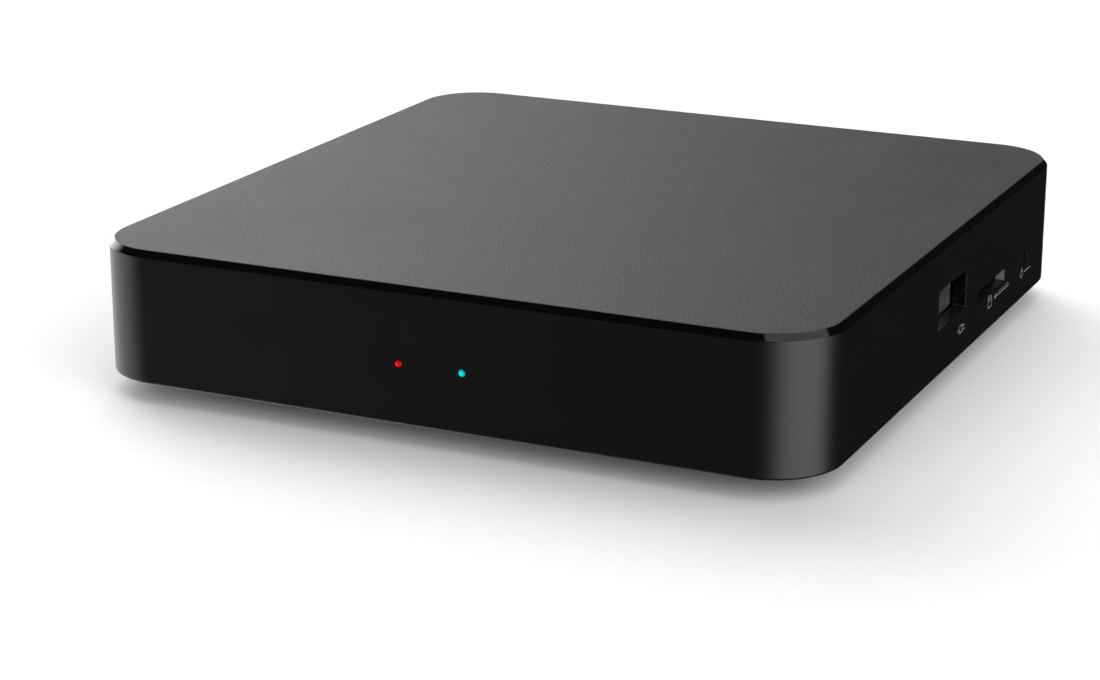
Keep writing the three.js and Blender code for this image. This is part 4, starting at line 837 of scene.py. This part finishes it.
class PLAYER_OT_usb_socket(Operator):
    """USB socket: folded steel shell with spring tabs, tongue and four contacts"""

    bl_idname = "player.usb_socket"
    bl_label = "USB socket"

    def execute(self, context):
        middle, (low, high) = node_centre("usb_tongue"), node_box("usb_shell")
        half_y, half_z = USB_WIDTH / 2, USB_TALL / 2
        outside, inside, slots, tabs, legs, carrier = new_shapes(6)
        slab(outside, (low.x, -half_y, -half_z), (high.x, half_y, half_z), 0.55, 5, axis=0)
        slab(inside, (low.x - 1, USB_SHEET - half_y, USB_SHEET - half_z),
             (high.x + 1, half_y - USB_SHEET, half_z - USB_SHEET), 0.25, 4, axis=0)
        # Spring tabs: two on the roof and two on the floor, cut free on three sides.
        root = high.x - 8.3
        for y in (-3.2, 3.2):
            for z in (USB_SHEET / 2 - half_z, half_z - USB_SHEET / 2):
                block(slots, (root + 0.1, y - 1.15, z - 0.5), (root + 6.1, y + 1.15, z + 0.5))
                start = Vector((root, y - 0.8, z - 0.11))
                strip(tabs, start, start + Vector((TAB_LENGTH, 1.6, 0.22)), 0)
        for vert in tabs.verts:
            along = (vert.co.x - root) / TAB_LENGTH
            vert.co.z -= math.copysign(TAB_BOW * math.sin(math.pi * min(along, 0.8)), vert.co.z)
        board = node_box("main_board")[1].z + 0.1
        for x in (high.x - 4, high.x - 11):
            for y in (-half_y, half_y - USB_SHEET):
                block(legs, (x - 1, y, board - middle.z), (x + 1, y + USB_SHEET, 0.6 - half_z))
        shell = cut(outside, inside, slots)
        join(shell, tabs, legs)
        shell.data.transform(Matrix.Translation((0, middle.y, middle.z)))
        finish_piece(shell, "usb_folded_shell", ["tinned"], "usb_shell")

        low, high = node_box("usb_tongue")
        slab(carrier, low, (low.x + 4.5, high.y, high.z), 0.2, 2, axis=0)
        slab(carrier, (low.x + 4.4, middle.y - 5.55, middle.z),
             (high.x, middle.y + 5.55, middle.z + 1.84), 0.25, 3, axis=0)
        soften(carrier, level_edges(carrier, high.x, 0), 0.3)
        finish_piece(carrier, "usb_contact_carrier", ["pale_polymer"],
                     "usb_tongue")
        for i in range(1, 5):
            node = "usb_contact_" + str(i)
            low, high = node_box(node)
            bm = bmesh.new()
            across = edges_along(block(bm, low, high), 1)
            soften(bm, [e for e in across if e.verts[0].co.x > high.x - 0.01], 0.1)
            finish_piece(bm, node + "_strip", ["gold"], node)
        return {"FINISHED"}


class PLAYER_OT_card_spring(Operator):
    """Coil spring that pushes the card carriage back out"""

    bl_idname = "player.card_spring"
    bl_label = "Card spring"

    def execute(self, context):
        low, high = node_box("card_spring")
        middle = (low + high) / 2
        wire, turns, steps = 0.085, 8, 20
        pitch = (high.x - low.x - 2 * wire) / turns
        bm = bmesh.new()
        ring = bmesh.ops.create_circle(bm, cap_ends=True, segments=8, radius=wire)["verts"]
        bmesh.ops.translate(bm, vec=(0, (high.z - low.z) / 2 - wire, 0), verts=ring)
        bmesh.ops.spin(
            bm, geom=bm.faces[:], cent=(0, 0, 0), axis=(1, 0, 0), dvec=(pitch / steps, 0, 0),
            angle=math.tau * turns, steps=steps * turns, use_merge=False,
        )
        move(bm, Matrix.Translation((low.x + wire, middle.y, middle.z)))
        coil = finish_piece(bm, "card_coil_spring", ["spring"], "card_spring")
        coil.modifiers.clear()
        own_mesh(coil)
        return {"FINISHED"}


def band(bm, radius, width, start, sweep, segments=20):
    """A flat band round the origin, from one angle through another."""
    verts = [bm.verts.new((radius + side * width / 2, 0, 0)) for side in (-1, 1)]
    edge = bm.edges.new(verts)
    bmesh.ops.transform(bm, matrix=Matrix.Rotation(start, 4, "Z"), verts=verts)
    bmesh.ops.spin(
        bm, geom=[*verts, edge], cent=(0, 0, 0), axis=(0, 0, 1), angle=sweep, steps=segments,
        use_merge=False,
    )


class PLAYER_OT_port_marks(Operator):
    """Plain printed marks beside the side ports: a plug, a card with an arrow, a round arrow"""

    bl_idname = "player.port_marks"
    bl_label = "Port marks"

    def execute(self, context):
        def area(bm, *corners):
            bm.faces.new([bm.verts.new((*corner, 0)) for corner in corners])

        def bar(bm, x0, y0, x1, y1):
            verts = bmesh.ops.create_grid(bm, x_segments=1, y_segments=1, size=0.5)["verts"]
            bmesh.ops.scale(bm, vec=(x1 - x0, y1 - y0, 1), verts=verts)
            bmesh.ops.translate(bm, vec=((x0 + x1) / 2, (y0 + y1) / 2, 0), verts=verts)

        def outline(bm, outer, inner):
            rings = [[bm.verts.new((*corner, 0)) for corner in ring] for ring in (outer, inner)]
            for i, start in enumerate(rings[0]):
                bm.faces.new((rings[0][i - 1], start, rings[1][i], rings[1][i - 1]))

        def rectangle(x, y):
            return (-x, -y), (x, -y), (x, y), (-x, y)

        usb, card = node_centre("usb_tongue"), node_centre("card_socket_cover")
        reset = node_centre("reset_plunger")
        plug, sheet, again = new_shapes(3)
        outline(plug, rectangle(0.8, 0.65), rectangle(0.8 - INK_LINE, 0.65 - INK_LINE))
        bar(plug, -1.9, -INK_LINE / 2, -0.81, INK_LINE / 2)
        bar(plug, 0.81, 0.2, 1.9, 0.2 + INK_LINE)
        bar(plug, 0.81, -0.2 - INK_LINE, 1.9, -0.2)
        outline(sheet, ((-1.1, -1), (0.9, -1), (0.9, 0.4), (0.35, 1), (-1.1, 1)),
                ((-0.9, -0.8), (0.7, -0.8), (0.7, 0.32), (0.26, 0.8), (-0.9, 0.8)))
        for x in (-0.65, -0.25, 0.15):
            bar(sheet, x, 0.1, x + 0.18, 0.55)
        bar(sheet, 3.31, -INK_LINE / 2, 10.2, INK_LINE / 2)
        area(sheet, (3.3, 0.45), (2.1, 0), (3.3, -0.45))
        for x in (4.6, 5.8, 7.0, 8.2, 9.4):
            bar(sheet, x, 0.35, x + 0.6, 0.53)
        band(again, 0.62, INK_LINE, math.radians(70), math.radians(290))
        area(again, (0.0, 1.0), (0.0, 0.25), (0.62, 0.62))
        bar(again, 1.2, -INK_LINE / 2, 5.0, INK_LINE / 2)
        marks = {
            "plug_mark": (plug, usb.y + 5.1, 7.6),
            "card_mark": (sheet, card.y - 0.2, 7.8),
            "reset_mark": (again, reset.y - 1.4, 7.6),
        }
        for name, (bm, y, z) in marks.items():
            for face in bm.faces:
                face.normal_update()
                if face.normal.z < 0:
                    face.normal_flip()
            bmesh.ops.solidify(bm, geom=bm.faces[:], thickness=INK_THICKNESS)
            bottom = min(vert.co.z for vert in bm.verts)
            move(bm, right_wall(y, z, SHELL_HIGH.x - INK_SUNK - bottom))
            finish_piece(bm, name, ["ink"])
        return {"FINISHED"}


# ---- Lamps


class PLAYER_OT_light_pipes(Operator):
    """Two light pipes whose domed tips show in the front wall"""

    bl_idname = "player.light_pipes"
    bl_label = "Light pipes"

    def execute(self, context):
        for side in ("red", "cyan"):
            node = "light_pipe_" + side
            low, high = node_box(node)
            middle = (low + high) / 2
            back, tip = -high.y - INSIDE.y, -low.y - INSIDE.y  # the wall's inside is at 0
            profile = [(0, back), (0.85, back), (0.9, back + 0.05), (0.9, -0.9), (1.35, -0.9),
                       (1.4, -0.85), (1.4, -0.15), (1.35, -0.1), (LENS_RADIUS, -0.1)]
            for angle in map(math.radians, range(0, 90, 15)):
                height = tip - LENS_DOME + LENS_DOME * math.sin(angle)
                profile.append((LENS_RADIUS * math.cos(angle), height))
            pipe = turned([*profile, (0, tip)], 40, front_wall(middle.x, middle.z))
            finish_piece(pipe, node + "_dome", [side + "_lens"], node)
        return {"FINISHED"}


# ---- Rear sockets


class PLAYER_OT_power_jack(Operator):
    """Round power jack with its sleeve contact and a domed pin"""

    bl_idname = "player.power_jack"
    bl_label = "Power jack"

    def execute(self, context):
        low, high = node_box("power_jack")
        pin_low, pin_high = node_box("power_jack_pin")
        x, _, z = (pin_low + pin_high) / 2
        body, sleeve = new_shapes(2)
        slab(body, low, high, 0.5, 4, axis=1)
        soften(body, level_edges(body, high.y, 1), 0.25)
        lip = POWER_BORE + 0.35
        bore = [(0, -10), (POWER_BORE, -10), (POWER_BORE, -0.4), (POWER_BORE + 0.1, -0.15),
                (lip, 0), (lip, 1), (0, 1)]
        jack = cut(body, turned(bore, 48, rear_wall(x, z, high.y)))
        finish_piece(jack, "power_jack_body", ["black_nylon"], "power_jack")
        reach = pin_high.y - pin_low.y
        profile = [(0, 0), (1, 0), (1, reach - 0.45), (0.93, reach - 0.2),
                   (0.7, reach - 0.04), (0.45, reach), (0, reach)]
        pin = turned(profile, 32, rear_wall(x, z, pin_low.y))
        finish_piece(pin, "power_jack_domed_pin", ["gold"], "power_jack_pin")
        start, floor = high.y - 8.5, z - POWER_BORE
        long, bow = 6.3, 0.75
        strip(sleeve, (x - 0.9, start, floor), (x + 0.9, start + long, floor + 0.3), 1)
        for vert in sleeve.verts:
            vert.co.z += bow * math.sin(math.pi * (vert.co.y - start) / long)
        finish_piece(sleeve, "power_sleeve_contact", ["gold"])
        return {"FINISHED"}


def hdmi_outline(bm, smaller=0.0):
    """The socket's outline as one face: square above, slanted at both lower corners."""
    face = outline_face(bm, HDMI_WIDTH - smaller, HDMI_TALL - smaller)
    take_off_corners(bm, [v for v in face.verts if v.co.y < 0], HDMI_SLANT, 1)
    take_off_corners(bm, next(iter(bm.faces)).verts[:], 0.25, 3)
    return next(iter(bm.faces))


class PLAYER_OT_hdmi_socket(Operator):
    """HDMI socket: folded shell with slanted lower corners, tongue and contacts"""

    bl_idname = "player.hdmi_socket"
    bl_label = "HDMI socket"

    def execute(self, context):
        low, high = node_box("hdmi_shell")
        middle, reach = node_centre("hdmi_tongue"), high.y - low.y
        place = rear_wall(middle.x, middle.z, low.y)
        half = (HDMI_WIDTH / 2, HDMI_TALL / 2)
        outside, inside, carrier, pads = new_shapes(4)
        draw_out(outside, hdmi_outline(outside), half, [(reach - 0.12, 0), (reach, -0.1)])
        draw_out(inside, hdmi_outline(inside, 2 * HDMI_SHEET), half,
                 [(reach - 0.1, 0), (reach + 0.3, 0.35)], -1)
        shell = cut(move(outside, place), move(inside, place))
        finish_piece(shell, "hdmi_folded_shell", ["tinned"], "hdmi_shell")

        tip = node_box("hdmi_tongue")[1].y
        draw_out(carrier, hdmi_outline(carrier, 0.9), half, [(3, 0)])
        move(carrier, place)
        slab(carrier, (middle.x - 5.1, low.y + 2.9, middle.z - HDMI_TONGUE),
             (middle.x + 5.1, tip, middle.z + HDMI_TONGUE), 0.2, 2, axis=1)
        soften(carrier, level_edges(carrier, tip, 1), 0.15, 2)
        finish_piece(carrier, "hdmi_contact_carrier", ["black_nylon"],
                     "hdmi_tongue")
        for i in range(HDMI_CONTACTS):
            x = middle.x + (i - (HDMI_CONTACTS - 1) / 2) * HDMI_PITCH
            z = middle.z + (HDMI_TONGUE if i % 2 else -HDMI_TONGUE)
            block(pads, (x - 0.13, low.y + 3.1, z - 0.04), (x + 0.13, tip - 0.4, z + 0.04))
        finish_piece(pads, "hdmi_contacts", ["gold"])
        return {"FINISHED"}


class PLAYER_OT_av_jack(Operator):
    """Round audio-video jack with a collar and a contact ring"""

    bl_idname = "player.av_jack"
    bl_label = "Audio-video jack"

    def execute(self, context):
        low, high = node_box("av_jack")
        x, z = (low.x + high.x) / 2, high.z - AV_AXIS_DROP
        front, groove = rear_wall(x, z, high.y), AV_BORE - 0.02
        body = bmesh.new()
        slab(body, low, (high.x, high.y - 0.6, high.z), 0.4, 4, axis=1)
        collar = [(0, -1.5), (AV_COLLAR, -1.5), (AV_COLLAR, -0.25), (AV_COLLAR - 0.08, -0.08),
                  (AV_COLLAR - 0.25, 0), (0, 0)]
        bore = [(0, -11), (AV_BORE, -11), (AV_BORE, -0.3), (AV_BORE + 0.1, -0.1),
                (AV_BORE + 0.3, 0), (AV_BORE + 0.3, 1), (0, 1)]
        jack = cut(join(body, turned(collar, 48, front)), turned(bore, 48, front))
        finish_piece(jack, "av_jack_body", ["black_nylon"], "av_jack")
        ring = [(groove, -1.6), (groove - 0.12, -1.5), (groove - 0.12, -0.5),
                (groove, -0.4), (groove, -1.6)]
        finish_piece(turned(ring, 48, front), "av_contact_ring", ["gold"])
        return {"FINISHED"}


class PLAYER_OT_network_jack(Operator):
    """Network jack with its latch notch and eight bent contacts"""

    bl_idname = "player.network_jack"
    bl_label = "Network jack"

    def execute(self, context):
        low, high = node_box("network_jack")
        x, (width, tall) = (low.x + high.x) / 2, NETWORK_PORT
        notch, notch_tall = NETWORK_LATCH
        port_low = low.z + 2.5
        top, back = port_low + tall, high.y - NETWORK_DEPTH
        body, port, latch, wires = new_shapes(4)
        slab(body, low, high, 0.4, 4, axis=1)
        soften(body, level_edges(body, high.y, 1), 0.2)
        draw_out(port, outline_face(port, width, tall, 0.3, 3), (width / 2, tall / 2),
                 [(NETWORK_DEPTH - 0.4, 0), (NETWORK_DEPTH, 0.25), (NETWORK_DEPTH + 1, 0.25)])
        move(port, rear_wall(x, port_low + tall / 2, back))
        slab(latch, (x - notch / 2, high.y - 6, port_low - notch_tall),
             (x + notch / 2, high.y + 1, port_low + 1), 0.2, 3, axis=1)
        finish_piece(cut(body, port, latch), "network_jack_body", ["black_nylon"],
                     "network_jack")
        for i in range(NETWORK_CONTACTS):
            wire_x = x + (i - (NETWORK_CONTACTS - 1) / 2) * NETWORK_PITCH
            strip(wires, (wire_x - 0.14, back + 0.1, top - 0.28),
                  (wire_x + 0.14, back + 0.1 + NETWORK_WIRE, top - 0.02), 1, 7)
        for vert in wires.verts:
            along = (vert.co.y - (back + 0.1)) / NETWORK_WIRE
            vert.co.z -= 2.6 * max(0, 1 - along * 1.25)
        finish_piece(wires, "network_contacts", ["gold"])
        return {"FINISHED"}


# ---- Pieces carried over from the frame

CARRIED = {
    "board": ["main_board"],
    "tinned": [
        *("board_screw_" + name for name in CORNERS), "crystal", "radio_shield",
        "card_socket_cover", "reset_switch",
    ],
    "epoxy": [
        "processor_chip", "memory_chip_front", "memory_chip_rear", "flash_chip", "power_chip",
        "remote_receiver",
    ],
    "pad": ["thermal_pad"],
    "aluminium": ["heat_sink", "capacitor_left", "capacitor_right"],
    "black_nylon": [
        "heat_sink_pin_left", "heat_sink_pin_right", "inductor_front", "inductor_rear",
        "antenna_lead_side", "antenna_lead_front", "card_socket_base", "reset_plunger",
    ],
    "pale_polymer": ["card_slider"],
    "film": ["antenna_side", "antenna_front"],
    "red_lens": ["lamp_red"],
    "cyan_lens": ["lamp_cyan"],
}


class PLAYER_OT_carried_finishes(Operator):
    """Gives each piece that keeps its frame shape its finish"""

    bl_idname = "player.carried_finishes"
    bl_label = "Inner parts"

    def execute(self, context):
        for finish, nodes in CARRIED.items():
            for node in nodes:
                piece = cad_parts[node]
                piece.data.materials.clear()
                piece.data.materials.append(finish_called(finish))
        return {"FINISHED"}


# ---- Stage

# Each soft light: where it shines from, and its spread in degrees.
LIGHTS = {
    "overhead": ((0.42, 0.0, 0.9), 70),
    "behind": ((-0.5, 0.6, 0.62), 70),
    "fill": ((0.0, -0.95, 0.3), 60),
}
# Each pale screen round the stage: its direction, where it starts and ends as a cosine from
# there, and its strength. One is on the right, one far behind on the left, one low on the left.
SCREENS = [
    ((0.927, -0.375, 0.0), 0.57, 0.94, 2.95),
    ((-0.77, 0.58, 0.3), 0.82, 0.97, 3.0),
    ((-0.864, 0.06, -0.5), 0.62, 0.9, 1.42),
]
STUDIO_GLOW = 0.014


class PLAYER_OT_stage(Operator):
    """Pale floor, soft lights and the camera"""

    bl_idname = "player.stage"
    bl_label = "Stage"

    def execute(self, context):
        scene, stage = context.scene, context.scene.player_stage
        bm = bmesh.new()
        bmesh.ops.create_circle(bm, cap_ends=True, segments=96, radius=8)
        mesh = bpy.data.meshes.new("floor")
        bm.to_mesh(mesh)
        bm.free()
        floor = add_object("floor", mesh)
        # Matt painted board, rolled on: even and pale.
        paint = grained("matt_painted_board", stage.floor, 2.0, 0.01, 0.99, 1.01, (0.9, 0.95),
                        Specular_IOR_Level=0.1)
        mesh.materials.append(paint)
        floor.visible_glossy = False

        for name, (place, spread) in LIGHTS.items():
            data = bpy.data.lights.new(name, "SUN")
            data.energy, data.angle = getattr(stage, name), math.radians(spread)
            lamp = add_object(name, data)
            lamp.location = place
            lamp.rotation_euler = Vector(place).to_track_quat("Z", "Y").to_euler()
            # The other two only lift the floor and the shadow on it.
            lamp.visible_glossy = name == "overhead"

        # The studio round the object is dark, with its pale screens.
        world = bpy.data.worlds.new("studio")
        world.use_nodes = True
        tree = world.node_tree
        way = add_node(tree, "TexCoord", output="Generated")
        glow = None
        for centre, start, end, strength in SCREENS:
            aim = {"operation": "DOT_PRODUCT", 1: Vector(centre).normalized()}
            near = add_node(tree, "VectorMath", aim, {0: way}, "Value")
            fade = {
                "interpolation_type": "SMOOTHSTEP", "From Min": start, "From Max": end,
                "To Min": 0.0, "To Max": strength,
            }
            screen = add_node(tree, "MapRange", fade, {"Value": near})
            links = {0: screen} if glow is None else {0: glow, 1: screen}
            glow = add_node(tree, "Math", {"operation": "ADD", 1: STUDIO_GLOW}, links)
        backdrop = tree.nodes["Background"]
        backdrop.inputs["Color"].default_value = (1, 1, 1, 1)
        tree.links.new(glow, backdrop.inputs["Strength"])
        scene.world = world

        data = bpy.data.cameras.new("camera")
        data.lens, data.sensor_width = stage.camera_lens, 36
        data.clip_start, data.clip_end = 0.01, 50
        camera = add_object("camera", data)
        camera.location = stage.camera_place
        camera.rotation_euler = (math.pi / 2 - stage.camera_pitch, 0, stage.camera_turn)
        scene.camera = camera
        scene.view_settings.view_transform = "Standard"
        return {"FINISHED"}


# ---- Panel and registration

OPERATORS = [
    PLAYER_OT_stage, PLAYER_OT_top_housing, PLAYER_OT_bottom_cover, PLAYER_OT_feet,
    PLAYER_OT_case_screws, PLAYER_OT_rating_label, PLAYER_OT_usb_socket, PLAYER_OT_card_spring,
    PLAYER_OT_port_marks, PLAYER_OT_light_pipes, PLAYER_OT_power_jack,
    PLAYER_OT_hdmi_socket, PLAYER_OT_av_jack, PLAYER_OT_network_jack,
    PLAYER_OT_carried_finishes,
]


class PLAYER_PT_panel(Panel):
    """Lists the pieces and their settings"""

    bl_idname = "PLAYER_PT_panel"
    bl_label = "Media Player"
    bl_space_type = "VIEW_3D"
    bl_region_type = "UI"
    bl_category = "Media Player"

    def draw(self, context):
        for group in GROUPS:
            box = self.layout.box()
            settings = getattr(context.scene, group)
            for key in settings.__annotations__:
                box.prop(settings, key)
        for operator in OPERATORS:
            self.layout.operator(operator.bl_idname)


GROUPS = {
    "player_case": PLAYER_PG_case,
    "player_colours": PLAYER_PG_colours,
    "player_stage": PLAYER_PG_stage,
}
CLASSES = [*GROUPS.values(), *OPERATORS, PLAYER_PT_panel]


def register():
    for cls in CLASSES:
        bpy.utils.register_class(cls)
    for name, group in GROUPS.items():
        setattr(bpy.types.Scene, name, PointerProperty(type=group))


def unregister():
    for name in GROUPS:
        delattr(bpy.types.Scene, name)
    for cls in reversed(CLASSES):
        bpy.utils.unregister_class(cls)


def main():
    register()
    for operator in OPERATORS:
        group, name = operator.bl_idname.split(".")
        getattr(getattr(bpy.ops, group), name)()


if __name__ == "__main__":
    main()
